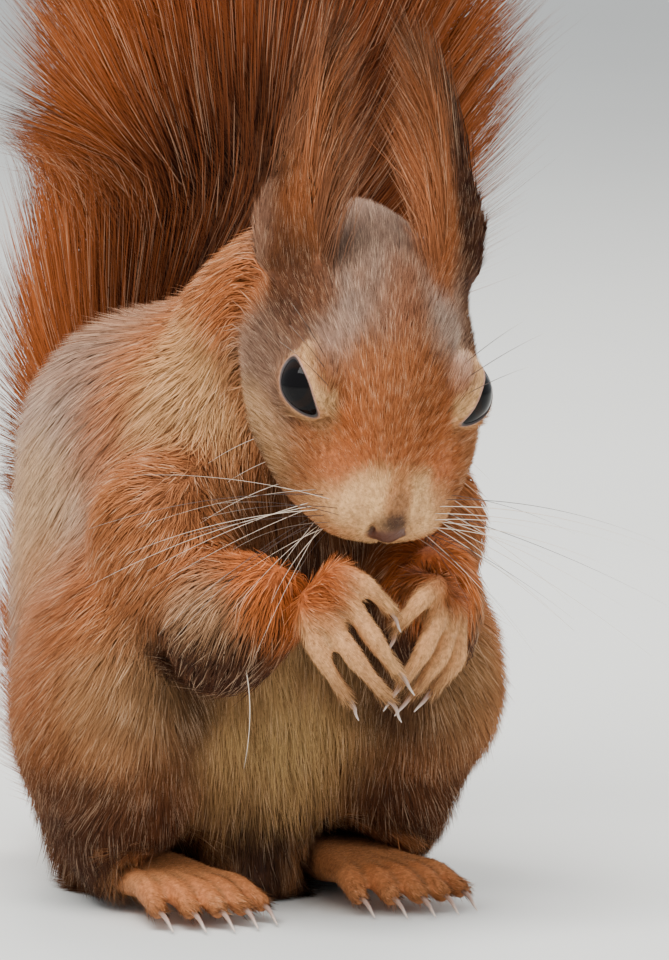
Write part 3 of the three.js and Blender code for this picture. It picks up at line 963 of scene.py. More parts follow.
skinMarks = markingsAndShadeAt(skinPoints)
# Painted shade: the creases between the digits are darkened.
skinMarks["dark"] = np.maximum(skinMarks["dark"], crease * 0.75)
tailSkin = member[:, parts.index("tail")]
skinMarks["orange"] = skinMarks["orange"] * (1 - tailSkin) + 0.35 * tailSkin
skinMarks["dark"] = skinMarks["dark"] * (1 - tailSkin) + 0.6 * tailSkin


# Tufts: closed, tapered, three-sided hairs whose tips lie over the next ones.

coat = {  # tufts, rings in each, sizes in mm, how far they gather into locks and differ in streaks
    "head": {"parts": ("head",), "count": 70000, "rings": 2, "length": 2.5, "width": 0.13,
             "lift": 1.2, "gather": 0.4, "spread": 0.16, "streak": 0.3},
    "neck": {"parts": ("neck",), "count": 7500, "rings": 3, "length": 7.5, "width": 0.22,
             "lift": 3.0, "gather": 0.45, "spread": 0.2, "streak": 0.15},
    "trunk": {"parts": ("trunk",), "count": 52000, "rings": 2, "length": 8.0, "width": 0.22,
              "lift": 3.4, "gather": 0.3, "spread": 0.18, "streak": 0.15},
    "arms": {"parts": ("armRight", "armLeft", "forearmRight", "forearmLeft"), "count": 16000,
             "rings": 3, "length": 6.2, "width": 0.2, "lift": 2.6, "gather": 0.45, "spread": 0.22,
             "streak": 0.15},
    "legs": {"parts": ("thighRight", "thighLeft", "shankRight", "shankLeft"), "count": 46000,
             "rings": 2, "length": 7.6, "width": 0.22, "lift": 3.2, "gather": 0.35, "spread": 0.2,
             "streak": 0.15},
    "paws": {"parts": ("handRight", "handLeft", "footRight", "footLeft"), "count": 22000,
             "rings": 2, "length": 1.3, "width": 0.11, "lift": 0.35, "gather": 0.1, "spread": 0.12,
             "streak": 0.35},
    "ears": {"parts": ("earRight", "earLeft"), "count": 12000, "rings": 2, "length": 3.4,
             "width": 0.13, "lift": 0.7, "gather": 0.2, "spread": 0.12, "streak": 0.15},
}
tuftWays = {  # what all the tufts have in common
    "most": 195000,  # triangles in one piece
    "length": (0.72, 1.25),  # how much they differ
    "lift": (0.6, 1.08),
    "width": (0.7, 1.3),
    "taper": ((0, 0.3, 0.65, 1), (0.62, 1.0, 0.72, 0.1)),  # widths along a tuft of three rings
    "stray": 0.035,  # how many stand off, and how much further
    "strayLift": 1.35,
    "buried": 0.25,  # mm, how deep the roots lie
    "overFloor": 0.25,  # mm
    "lock": 9,  # tufts in a lock
    "lean": 0.7,  # how far shading follows the skin below
    "bakePatch": 0.003,  # each tuft's place on its baking map
    "few": 0.004,  # parts with less of a coat than this have none
}


# Roots spread evenly over the triangles of the wanted parts.
def rootsOn(weight, count, rng):
    area = np.linalg.norm(faceCrosses(skinPoints, skinFaces), axis=1) * weight[skinFaces].mean(1)
    reach = np.cumsum(area)
    steps = (np.arange(count) + rng.uniform(0, 1, count)) * reach[-1] / count
    face = np.minimum(np.searchsorted(reach, steps), len(skinFaces) - 1)
    u, v = rng.uniform(0, 1, (2, count))
    over = u + v > 1
    u, v = np.where(over, 1 - u, u), np.where(over, 1 - v, v)
    return face, np.stack([1 - u - v, u, v], 1)


def atRoots(values, face, share):
    picked = values[skinFaces[face]]
    if picked.ndim == 2:
        return (picked * share).sum(1)
    return (picked * share[:, :, None]).sum(1)


# Hairs lean towards the lock whose middle is nearest, more so near their tips.
def gatherLocks(paths, along, amount, size, rng):
    count = len(paths)
    leaders = rng.choice(count, max(1, count // size), replace=False)
    tree = KDTree(len(leaders))
    for i, leader in enumerate(leaders):
        tree.insert(paths[leader, 0], i)
    tree.balance()
    owner = np.array([leaders[tree.find(root)[1]] for root in paths[:, 0].tolist()])
    toLeader = paths[owner] - paths
    pull = amount * rng.uniform(0.5, 1.3, count)[:, None] * along[None] ** 1.4
    return paths + toLeader * np.minimum(pull, 0.92)[:, :, None]


# Points of each tuft from its path: three around every ring, then the tip.
def tuftMesh(name, paths, widths, normalsAt, values):
    count, rings = paths.shape[:2]
    along = np.linspace(0, 1, rings)
    run = unit(np.gradient(paths, axis=1))
    sideways = unit(np.cross(run, normalsAt))
    top = np.cross(sideways, run)
    taper = np.interp(along[:-1], *tuftWays["taper"]) if rings > 2 else np.ones(1)
    half = widths[:, None] * taper[None] / 2
    angles = np.radians((210, 330, 90))
    ring = [paths[:, :-1] + sideways[:, :-1] * (half * math.cos(a))[:, :, None]
            + top[:, :-1] * (half * math.sin(a) * 0.8)[:, :, None] for a in angles]
    body = np.stack(ring, 2).reshape(count, -1, 3)
    points = np.concatenate([body, paths[:, -1:]], 1)
    each = points.shape[1]
    last = (rings - 2) * 3
    tips = [(last + j, last + (j + 1) % 3, each - 1) for j in range(3)]
    faces = np.concatenate([[(0, 2, 1)], tubeSides(rings - 1, 3), tips])[:, ::-1]
    allFaces = (faces[None] + (np.arange(count) * each)[:, None, None]).reshape(-1, 3)
    ringNormals = [sideways[:, :-1] * math.cos(a) + top[:, :-1] * math.sin(a) for a in angles]
    normals = np.stack(ringNormals, 2).reshape(count, -1, 3)
    normals = np.concatenate([normals, top[:, -1:]], 1)
    outer = np.repeat(normalsAt[:, :-1], 3, axis=1).reshape(count, -1, 3)
    outer = np.concatenate([outer, normalsAt[:, -1:]], 1)
    lean = tuftWays["lean"]
    normals = unit(normals * (1 - lean) + outer * lean).reshape(-1, 3)
    mesh = meshFrom(name, points.reshape(-1, 3), allFaces)
    alongPoints = np.concatenate([np.repeat(along[:-1], 3), [1]])
    kept = {key: np.repeat(value, each, axis=0) for key, value in values.items()}
    unwrap = kept.pop("unwrap")
    kept["along"] = np.tile(alongPoints, count)
    keepValues(mesh, kept)
    across = np.concatenate([np.tile((0.0, 1.0, 0.5), rings - 1), [0.5]])
    spot = np.stack([np.tile(across, count), np.tile(alongPoints, count)], 1) - 0.5
    places = unwrap + spot * tuftWays["bakePatch"]
    layer = mesh.uv_layers.new(name="OFBake")
    layer.data.foreach_set("uv", places[allFaces.ravel()].astype(np.float32).ravel())
    mesh.normals_split_custom_set_from_vertices(normals)
    return mesh


# An unwrap of the skin of some parts, which places their tufts' colours.
def unwrapOf(wanted):
    faces = skinFaces[wanted]
    used, packed = np.unique(faces, return_inverse=True)
    piece = pieceFrom("unwrap", meshFrom("unwrap", skinPoints[used], packed.reshape(-1, 3)))
    piece.data.uv_layers.new(name="unwrap")
    bpy.context.view_layer.objects.active = piece
    piece.select_set(True)
    bpy.ops.object.mode_set(mode="EDIT")
    bpy.ops.mesh.select_all(action="SELECT")
    bpy.ops.uv.smart_project(angle_limit=math.radians(66), island_margin=0.004)
    bpy.ops.object.mode_set(mode="OBJECT")
    places = np.empty(len(faces) * 6)
    piece.data.uv_layers[0].data.foreach_get("uv", places)
    bpy.data.objects.remove(piece)
    full = np.zeros((len(skinFaces), 3, 2))
    full[wanted] = places.reshape(-1, 3, 2)
    return full


def unwrapAt(weight, face, share):
    wanted = weight[skinFaces].max(1) > tuftWays["few"]
    wanted[face] = True
    return (unwrapOf(wanted)[face] * share[:, :, None]).sum(1)


def offFloor(paths):
    paths[:, :, 2] = np.maximum(paths[:, :, 2], tuftWays["overFloor"] * mm)
    return paths


def layTufts(kind, rng):
    spec = coat[kind]
    weight = sum(member[:, parts.index(part)] for part in spec["parts"])
    weight = weight * tuftShare(kind)
    face, share = rootsOn(weight, spec["count"], rng)
    roots = atRoots(skinPoints, face, share)
    normal = unit(atRoots(softNormals, face, share))
    flow = unit(atRoots(lie, face, share))
    count, rings = len(roots), spec["rings"]
    sizes = tuftSizes(kind, roots)
    length = spec["length"] * mm * sizes["length"] * rng.uniform(*tuftWays["length"], count)
    height = spec["lift"] * mm * sizes["lift"] * rng.uniform(*tuftWays["lift"], count)
    stray = rng.uniform(0, 1, count) < tuftWays["stray"]
    height = np.where(stray, height * tuftWays["strayLift"], height)
    side = np.cross(normal, flow)
    swing = spec["spread"] * rng.normal(size=count) + 0.1 * waves(roots, 11 * mm, 21)
    flow = unit(flow + side * swing[:, None])
    along = np.linspace(0, 1, rings)
    paths = np.empty((count, rings, 3))
    over = np.empty((count, rings, 3))
    paths[:, 0], over[:, 0] = roots - normal * tuftWays["buried"] * mm, normal
    here = roots
    short = spec["length"] < 4
    for k in range(1, rings):
        ahead = here + flow * (length / (rings - 1))[:, None]
        if short:
            place, outward = ahead, normal
        else:
            place, _, hit = nearestOn(skinTree, ahead)
            # a tuft is short where the skin turns away from it
            fit = np.clip((unit(place - here) * flow).sum(1), 0.15, 1)
            place = here + (place - here) * fit[:, None]
            outward = unit(softNormals[skinFaces[hit]].mean(1))
            turned = tangent(lie[skinFaces[hit]].mean(1) * 0.45 + flow * 0.55, outward)
            flow = unit(turned + np.cross(outward, turned) * (swing * 0.25)[:, None])
        rise = height * (along[k] ** 0.75)
        here = place
        paths[:, k] = place + outward * rise[:, None]
        over[:, k] = outward
    paths = offFloor(gatherLocks(paths, along, spec["gather"], tuftWays["lock"], rng))
    widths = spec["width"] * mm * sizes["width"] * rng.uniform(*tuftWays["width"], count)
    streak = spec["streak"] * waves(roots, spec["length"] * 0.5 * mm, 33, 24)
    values = {"strand": np.clip(rng.uniform(0, 1, count) + streak, 0, 1), "root": roots,
              "unwrap": unwrapAt(weight, face, share), **markingsAndShadeAt(roots)}
    # painted shade in the creases between the digits
    values["dark"] = np.maximum(values["dark"], atRoots(crease, face, share) * 0.75)
    if kind == "paws":
        values["dark"] = np.maximum(values["dark"], 0.45 * nearClaws(roots) * (values["strand"] < 0.45))
    return paths, widths, over, values


# Where the coat is thinned out or left off: nose, lids, palms and soles.
def tuftShare(kind):
    if kind == "head":
        nose = headShare(skinPoints, muzzle["noseAt"], muzzle["noseReach"])
        share = smooth(0.8, 1.1, nose) * (1 + 0.9 * smooth(0, 12, headPlaces(skinPoints)[0]))
        for side in sides:
            share = share * smooth(1.08, 1.2, eyePlaces(side, skinPoints)[3])
        return share
    if kind == "paws":
        return np.where(skinNormals[:, 2] < -0.75, 0.1, 1.0)
    return np.ones(len(skinPoints))


headTufts = {  # how much smaller at the front, how much larger on the cheeks, the share by the eyes
    "length": (0.5, 0.8, 0.35), "lift": (0.55, 0.7, 0.2), "width": (0.3, 0.25, 0.7),
}
pawTufts = {  # how much larger at the wrists and by the claws
    "length": (2.4, 1.0), "lift": (2.6, 0.9), "width": (0.6, 0.2),
}
bellyTufts = {"length": 0.2, "lift": 0.3, "width": 0.25}  # how much smaller


def tuftSizes(kind, points):
    ones = np.ones(len(points))
    sizes = {"length": ones, "lift": ones, "width": ones}
    if kind == "head":
        ahead, _, above = headPlaces(points)
        frontal = smooth(4, 20, ahead)
        cheek = smooth(-4, -14, above) * smooth(12, 0, ahead)
        away = np.minimum(*(smooth(1.0, 2.3, eyePlaces(side, points)[3]) for side in sides))
        for name, (front, cheeks, byEyes) in headTufts.items():
            sizes[name] = (1 - front * frontal + cheeks * cheek) * (byEyes + (1 - byEyes) * away)
    if kind == "arms":
        hang = smooth(0, -10 * mm, points[:, 2] - inBox("forearm_right", 0, 0, 0.9)[2])
        under = smooth(2 * mm, -7 * mm, points[:, 2] - boxMiddle("forearm_right")[2])
        sizes["length"] = 0.75 + 0.4 * hang + 0.3 * under
        sizes["lift"] = 1 + 0.9 * under
    if kind == "paws":
        cuff = sum(smooth(10 * mm, 3 * mm, np.linalg.norm(points - wristOf(side), axis=1)) for side in sides)
        ends = nearClaws(points)
        for name, (cuffs, claws) in pawTufts.items():
            sizes[name] = 1 + cuffs * cuff + claws * ends
    if kind == "trunk":
        belly = smooth(-10 * mm, -20 * mm, points[:, 1]) * smooth(50 * mm, 42 * mm, points[:, 2])
        sizes = {name: ones - belly * share for name, share in bellyTufts.items()}
    return sizes


coatPieces = []


def splitTufts(kind, paths, widths, over, values):
    each = 6 * (paths.shape[1] - 2) + 4
    pieces = math.ceil(len(paths) * each / tuftWays["most"])
    order = np.argsort(paths[:, 0] @ unit((1.0, 0.35, 0.2)))
    for number, picked in enumerate(np.array_split(order, pieces), 1):
        name = "coat_" + kind + (f"_{number}" if pieces > 1 else "")
        some = {key: value[picked] for key, value in values.items()}
        mesh = tuftMesh(name, paths[picked], widths[picked], over[picked], some)
        piece = pieceFrom(name, mesh)
        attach(piece, "root")
        coatPieces.append(piece)
    print("coat of the", kind, len(paths), "tufts in", pieces, "pieces,", len(paths) * each, "triangles")


for number, kind in enumerate(coat):
    splitTufts(kind, *layTufts(kind, np.random.default_rng(100 + number)))


# Tail: long hairs that leave the bone and sweep out towards the tip, to the full brush.

brush = {
    "count": 36000,
    "width": 0.3,  # mm
    "sweep": 0.6,  # how far a hair runs along the tail for each mm that it runs outwards
    "flat": 1.1,  # how much more a hair of the two broad faces runs along it
    "inner": 0.9,  # the shortest hairs' share of the way to the outline
    "outer": 1.16,  # and the longest ones'
    "even": 0.7,  # below 1 there are more of the longest
    "bend": (0.55, 0.1),  # how far outwards and along the tail a hair bends
    "wobble": 0.09,  # how far hairs stray, for each mm that they run outwards
    "gather": 0.22,
    "lock": 7,  # hairs in a lock
}
tailLength = np.linalg.norm(np.diff(tailPath, axis=0), axis=1).sum()


def onTail(values, share):
    places = np.clip(share, 0, 1) * (len(tailPath) - 1)
    low = np.minimum(places.astype(int), len(tailPath) - 2)
    part = places - low
    if values.ndim == 1:
        return values[low] * (1 - part) + values[low + 1] * part
    return values[low] * (1 - part)[:, None] + values[low + 1] * part[:, None]


def layBrush(rng):
    count, rings = brush["count"], 3
    along = np.linspace(0, 1, rings)
    share = rng.uniform(0, 1, count) ** 0.95 * 0.95
    turn = rng.uniform(0, 2 * math.pi, count)
    turn = turn - 0.2 * np.sin(2 * turn)  # more hairs on the two edges
    aside, inward = np.cos(turn), np.sin(turn)
    full = brush["inner"] + (brush["outer"] - brush["inner"]) * rng.uniform(0, 1, count) ** brush["even"]
    breadth, depth = onTail(tailBreadth, share), onTail(tailDepth, share)
    thin, filled = coreAt(share)
    thin, filled = thin * 0.8, filled * skinDetail["tailShare"] * 0.9  # roots lie inside the core
    coreWide, coreDeep = np.maximum(breadth * filled, thin), np.maximum(depth * filled, thin)
    outAt = np.hypot(aside * (breadth * full - coreWide), inward * (depth * full - coreDeep))
    sweep = brush["sweep"] + brush["flat"] * np.abs(inward) ** 2
    run = share + sweep * outAt / tailLength + 0.02 * rng.uniform(0, 1, count)
    end = np.minimum(run, 1)
    spare = np.maximum(run - 1, 0) * tailLength
    ending = smooth(0.97, 1.02, run)  # hairs that run past the end close it
    full = full * (1 - ending * rng.uniform(0, 1, count) ** 1.5)

    wide, deep = onTail(tailWide, end), onTail(tailDeep, end)
    tip = onTail(tailPath, end) + (wide * (aside * onTail(tailBreadth, end))[:, None]
                                   + deep * (inward * onTail(tailDepth, end))[:, None]) * full[:, None]
    closing = ending * (1 - full ** 2).clip(0) * 3 * mm
    tip = tip + onTail(tailAhead, end) * (spare * 0.3 + closing)[:, None]
    wideHere, deepHere = onTail(tailWide, share), onTail(tailDeep, share)
    root = (onTail(tailPath, share) + wideHere * (aside * coreWide)[:, None]
            + deepHere * (inward * coreDeep)[:, None])
    radial = unit(wideHere * (aside * breadth)[:, None] + deepHere * (inward * depth)[:, None])
    outwards, forwards = brush["bend"]
    bend = (root + radial * (outAt * outwards)[:, None]
            + onTail(tailAhead, share) * (outAt * forwards)[:, None])
    wobble = rng.normal(size=(count, 3)) * (outAt * brush["wobble"])[:, None]
    bend, tip = bend + wobble * 0.6, tip + wobble
    paths = bentPaths(root, bend, tip, along)
    paths = offFloor(gatherLocks(paths, along, brush["gather"], brush["lock"], rng))
    outer = unit(wide * (aside / onTail(tailBreadth, end))[:, None]
                 + deep * (inward / onTail(tailDepth, end))[:, None])
    over = np.repeat(outer[:, None], rings, axis=1)
    widths = brush["width"] * mm * rng.uniform(0.65, 1.3, count) * smooth(1.5, 0.8, full)
    wanted = member[skinFaces, parts.index("tail")].mean(1) > 0.4
    hit = np.flatnonzero(wanted)[nearestOn(treeOf(skinPoints, skinFaces[wanted]), root)[2]]
    values = {"strand": rng.uniform(0, 1, count), "root": root, "unwrap": unwrapOf(wanted)[hit].mean(1),
              **{tone: np.zeros(count) for tone in tones}}
    values["orange"] = 0.6 * smooth(0.6, 1, np.abs(aside)) + 0.15 * np.clip(waves(tip, 30 * mm, 8), 0, 1)
    # Painted shade: the tail is darkened along its middle, near its base and most on the side that faces the
    # back, where the body shades it.
    low = smooth(0.5, 0.2, share)
    middle = smooth(0.97, 0.45, np.abs(aside))
    facing = smooth(0.2, -0.8, radial @ rear)  # the side that faces the back, which the body shades
    values["dark"] = np.clip(middle * (0.45 * smooth(1.0, 0.4, share) + 0.3 * low)
                             + 0.85 * facing * smooth(0.76, 0.52, share) + 0.1, 0, 0.95)
    return paths, widths, over, values


splitTufts("tail", *layBrush(np.random.default_rng(7)))


# Ears: long tufts that stand past the leaf and draw together towards their tips.

earTuft = {
    "count": 7500,
    "length": (8, 25),  # mm
    "width": 0.13,
    "close": 0.12,  # how much they draw together
    "reach": 16,  # mm above the roots, at which an ear's tuft is darkest
    "gather": 0.3,
    "lock": 8,
}


def layEarTufts(rng):
    rings = 3
    along = np.linspace(0, 1, rings)
    weight = np.zeros(len(skinPoints))
    for side in sides:
        base, axis, length = earFrames[side]
        part = "earRight" if side == "right" else "earLeft"
        share = (skinPoints - base) @ axis / (length * skinDetail["earShare"])
        inner = smooth(-1.5 * mm, 3.5 * mm, (skinPoints - base) @ headLeft * -sides[side])
        inner = inner * smooth(0.1, 0.3, share) * 0.8
        weight += member[:, parts.index(part)] * np.maximum(smooth(0.45, 0.9, share), inner)
    face, share = rootsOn(weight, earTuft["count"], rng)
    root = atRoots(skinPoints, face, share)
    outward = unit(atRoots(softNormals, face, share))
    count = len(root)
    away = {side: np.linalg.norm(root - earFrames[side][0], axis=1) for side in sides}
    isLeft = away["left"] < away["right"]
    axis = np.where(isLeft[:, None], earAxis["left"], earAxis["right"])
    tops = {side: earFrames[side][0] + earAxis[side] * earFrames[side][2] for side in sides}
    top = np.where(isLeft[:, None], tops["left"], tops["right"])
    low, high = earTuft["length"]
    rise = (top - root) @ up
    length = np.minimum(rng.uniform(low, high, count) * mm, np.maximum(rise * 1.12, 4 * mm))
    inward = np.where(isLeft, -1.0, 1.0)[:, None] * headLeft
    aim = root + axis * length[:, None] + inward * (length * rng.uniform(-0.05, 0.45, count))[:, None]
    centre = top - axis * ((top - aim) * axis).sum(1)[:, None]
    close = earTuft["close"] * smooth(0, 1, length / np.maximum(rise, 1e-3))
    aim = aim + (centre - aim) * close[:, None] + rng.normal(size=(count, 3)) * 0.8 * mm
    bend = root + axis * (length * 0.5)[:, None] + outward * 0.6 * mm
    paths = gatherLocks(bentPaths(root, bend, aim, along), along, earTuft["gather"], earTuft["lock"], rng)
    over = np.repeat(outward[:, None], rings, axis=1)
    widths = earTuft["width"] * mm * rng.uniform(*tuftWays["width"], count)
    values = {"strand": rng.uniform(0, 1, count), "root": root,
              "unwrap": unwrapAt(weight, face, share), **markingsAndShadeAt(root)}
    high = smooth(0.5, 1.0, rise.clip(0) / (earTuft["reach"] * mm))
    values["dark"] = values["dark"] * (0.8 + 0.2 * high)
    values["orange"] = values["orange"] * (0.5 + 0.4 * high)
    values["grey"] = 0.14 + 0.3 * (1 - high)
    return paths, widths, over, values


splitTufts("ear_tufts", *layEarTufts(np.random.default_rng(12)))


# Balls of the eyes, with a slightly fuller clear front.

eyeBallLook = {
    "size": 0.995,  # of the solid eye
    "fuller": 0.028,  # how much further the clear front stands out
}


def eyeBall(side, around=64, rows=39):
    outward, along, above = eyeFrames[side]
    turns = np.linspace(0, 2 * math.pi, around, endpoint=False)
    falls = np.linspace(0, math.pi, rows + 2)[1:-1]
    fuller = eyeBallLook["fuller"]
    full = 1 + fuller * smooth(0.75, 1.0, np.cos(falls))
    rings = (outward * np.cos(falls)[:, None, None]
             + (along * np.cos(turns)[:, None] + above * np.sin(turns)[:, None])[None]
             * np.sin(falls)[:, None, None]) * full[:, None, None]
    points = np.concatenate([rings.reshape(-1, 3), [outward * (1 + fuller)], [-outward]])
    mesh = meshFrom("eyeball_" + side, points * (eyeRadius * eyeBallLook["size"]) + eyeCentre[side],
                    tubeFaces(rows, around)[:, [0, 2, 1]])
    bm = bmesh.new()
    bm.from_mesh(mesh)
    bmesh.ops.recalc_face_normals(bm, faces=bm.faces)
    bm.to_mesh(mesh)
    bm.free()
    keepValues(mesh, {"facing": points @ outward})
    piece = pieceFrom("eyeball_" + side, mesh)
    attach(piece, "root")
    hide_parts("eye_" + side)
    return piece


# Lids: a rounded dark rim round the opening, that sinks into the skin outside it.

lidRows = {  # share of the opening, height over the ball in mm, how much is rim
    "share": (0.88, 0.93, 0.965, 0.99, 1.02, 1.06, 1.11, 1.18),
    "height": (-0.5, -0.08, 0.12, 0.22, 0.28, 0.28, 0.2, -0.05),
    "rim": (1, 1, 1, 0.95, 0.6, 0.25, 0.1, 0),
}


def lidRing(side, around=128):
    outward, forward, above = eyeFrames[side]
    turns = np.linspace(0, 2 * math.pi, around, endpoint=False)
    shares = np.array(lidRows["share"])[:, None]
    share = np.cos(turns) * shares
    height, middle = openingShape(share)
    a = (share * eyeLook["halfLength"] + eyeLook["forward"]) * mm
    b = np.sin(turns) * shares * height + middle
    arc = np.hypot(a, b)
    fall = (arc / eyeRadius)[..., None]
    sideways = (forward * a[..., None] + above * b[..., None]) / arc[..., None]
    radius = eyeRadius + np.array(lidRows["height"])[:, None, None] * mm
    points = eyeCentre[side] + (outward * np.cos(fall) + sideways * np.sin(fall)) * radius
    faces, flat = tubeSides(len(shares), around), points.reshape(-1, 3)
    if unit(faceCrosses(flat, faces)).mean(0) @ outward < 0:
        faces = faces[:, ::-1]
    return flat, faces, np.repeat(lidRows["rim"], around)


# Claws: each follows its solid's own bend, from a thick root to a fine point.

claws = {
    "root": 0.44,  # mm, the radius
    "tip": 0.06,
    "deep": 1.25,  # how much deeper than wide
    "buried": 1.0,  # mm, how far the roots lie in the paw
    "reach": {"hand": 1.3, "foot": 1.06},  # how far the points stand past the solids
    "bend": 1.25,  # how much further the points bend
    "around": 12,
}


def clawPath(node, paw):
    points = nodePoints(node)
    middle = points.mean(0)
    axis = clawLine(node, paw)[1]
    along = (points - middle) @ axis
    edges = np.linspace(along.min(), along.max(), 6)
    path = []
    for low, high in zip(edges[:-1], edges[1:]):
        inside = (along >= low - 0.2 * mm) & (along <= high + 0.2 * mm)
        path.append(points[inside].mean(0) if inside.any() else middle + axis * (low + high) / 2)
    start = path[0] - unit(path[1] - path[0]) * claws["buried"] * mm
    beyond = claws["reach"][node.split("_")[0]]
    end = middle + axis * along.max() * beyond + tangent(path[-1] - middle, axis) * claws["bend"]
    return relax(evenly(np.array([start, *path, end]), 14), 3)


def clawMesh():
    meshes, alongs = [], []
    nodes = [name for name in sorted(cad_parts) if "_claw_" in name]
    for name in nodes:
        limb, _, side, _ = name.split("_")
        path = clawPath(name, limb + "_" + side)
        share = np.linspace(0, 1, len(path))
        radii = (claws["root"] * (1 - share) ** 0.7 + claws["tip"] * share) * mm
        ahead = unit(np.gradient(path, axis=0))
        wide = unit(np.cross(ahead, left * 0.3 - rear))
        deep = np.cross(ahead, wide)
        meshes.append(tubeAlong(path, wide, deep, radii, claws["around"], claws["deep"]))
        alongs += [np.repeat(share, claws["around"]), (0, 1)]
    mesh = meshFrom("claws", *joined(meshes))
    keepValues(mesh, {"along": np.concatenate(alongs)})
    return mesh, nodes


# Whiskers, and one long guard hair at the elbow.

whiskerLook = {
    "thick": 0.065,  # mm, the radius
    "rings": 16,
    "around": 5,
    "rows": (  # from the top: where a row starts on the head, its turn ahead in degrees, its length
        ((19.0, 8.8, -3.5), -6, 1.0),
        ((19.0, 9.2, -6.0), 12, 1.05),
        ((18.5, 9.0, -8.6), 32, 0.9),
        ((18.0, 8.2, -11.0), 50, 0.6),
    ),
    "lengths": (20, 27, 36, 40, 30),  # mm, along a row
    "step": (-1.1, -0.2),  # from one to the next in a row, ahead and outwards
}


def strandTube(root, direction, length, sag, thick, curl=0.0):
    share = np.linspace(0, 1, whiskerLook["rings"])
    direction = unit(direction)
    sidewise = unit(np.cross(direction, up))
    path = (root + direction * (share * length)[:, None] - up * (sag * length * share ** 2)[:, None]
            + sidewise * (curl * length * share ** 2)[:, None])
    radii = thick * mm * (1 - share * 0.85) * (0.55 + 0.45 * np.minimum(share * 8, 1))
    ahead = unit(np.gradient(path, axis=0))
    wide = unit(np.cross(ahead, up + left * 0.01))
    return tubeAlong(path, wide, np.cross(ahead, wide), radii, whiskerLook["around"])


def whiskerMesh():
    rng = np.random.default_rng(31)
    meshes, strands = [], []

    def addStrand(strand, *shape):
        meshes.append(strandTube(*shape))
        strands.append(strand)

    back, outwards = whiskerLook["step"]
    for sign in sides.values():
        out = headLeft * sign
        for (ahead, lateral, height), degrees, share in whiskerLook["rows"]:
            for column, reach in enumerate(whiskerLook["lengths"]):
                root = onHead(ahead + column * back, sign * (lateral + column * outwards), height)
                length = reach * mm * rng.uniform(0.8, 1.12) * share
                turn = math.radians(degrees + rng.normal() * 5)
                direction = (out * math.cos(turn) + headAhead * math.sin(turn) * 0.8
                             + headUp * (0.30 - 0.12 * column + rng.normal() * 0.04))
                shape = (root - out * 1.2 * mm, direction, length, 0.12 + rng.uniform(0, 0.1),
                         whiskerLook["thick"] * rng.uniform(0.75, 1.15), rng.normal() * 0.06)
                addStrand(rng.uniform(0, 1), *shape)
        for number in range(3):  # over the eye
            root = onHead(3 - 2.5 * number, sign * 11.0, 7.2)
            direction = out * 0.75 + headUp * (0.7 + 0.1 * number) - headAhead * (0.25 + 0.12 * number)
            addStrand(0.1, root, direction, rng.uniform(10, 15) * mm, 0.1, 0.07)
        for number in range(3):  # under the chin and on the cheek
            root = onHead(9 - 4 * number, sign * (11 + number), -12)
            direction = out * 0.8 - headUp * 0.4 + headAhead * 0.1
            addStrand(0.8, root, direction, rng.uniform(9, 16) * mm, 0.2, 0.06)
    elbow = inBox("forearm_right", -0.1, -0.3, -0.45)
    addStrand(0.95, elbow, -up + left * 0.08 - rear * 0.6, 17 * mm, 0.1, 0.1, 0.3)
    mesh = meshFrom("whiskers", *joined(meshes))
    share = np.repeat(np.linspace(0, 1, whiskerLook["rings"]), whiskerLook["around"])
    share = np.concatenate([share, (0, 1)])
    keepValues(mesh, {"strand": np.repeat(strands, len(share)), "along": np.tile(share, len(strands))})
    return mesh


# Finishes.

tone = {
    "rufous": shade(168, 110, 70),
    "grey": shade(184, 162, 146),
    "orange": shade(188, 100, 46),
    "dark": shade(52, 24, 14),
    "pale": shade(244, 194, 134),
    # cream dulled to its look in shade: partly the belly's own colour, partly painted shade
    "creamInShade": shade(198, 158, 102),
    "tail": shade(134, 62, 28),
    "tailTip": shade(166, 90, 46),
    "bare": shade(84, 50, 36),
    "paleTip": shade(236, 200, 164),
    "lid": shade(196, 150, 122),
    "lidCrease": shade(186, 136, 112),
    "lidRim": shade(42, 30, 28),
    # painted shade inside the nostrils, the mouth and the eye openings
    "paintedHoleShade": (0.012, 0.008, 0.007),
    "clawRoot": shade(84, 54, 46),
    "claw": shade(178, 148, 134),
    "clawTip": shade(222, 204, 190),
    "whisker": shade(226, 206, 184),
    "whiskerDark": shade(60, 44, 38),
    "whiskerTip": shade(236, 224, 206),
}
coatLook = {
    "paintedRootShade": 0.42,  # painted shade: how dark a tuft is at its root, deep in the coat
    "strandTone": 0.46,  # how much tufts differ
    "paleTips": 0.352,  # how pale the palest tips are
    "patchy": 0.72,  # how dark the darker patches of the base are
    "sooty": 0.7,  # how dark the darkest hairs are
    "roughness": 0.62,
}


def markedAndShadedColour(finish, base):
    breakup = finish.noise(420.0, 2.0) - 0.5
    colour = base
    for name in tones:
        share = (finish.value(name) + breakup * 0.5 * finish.value(name)).math("ADD", 0.0, clamp=True)
        colour = finish.mix(colour, tone[name], share)
    return colour


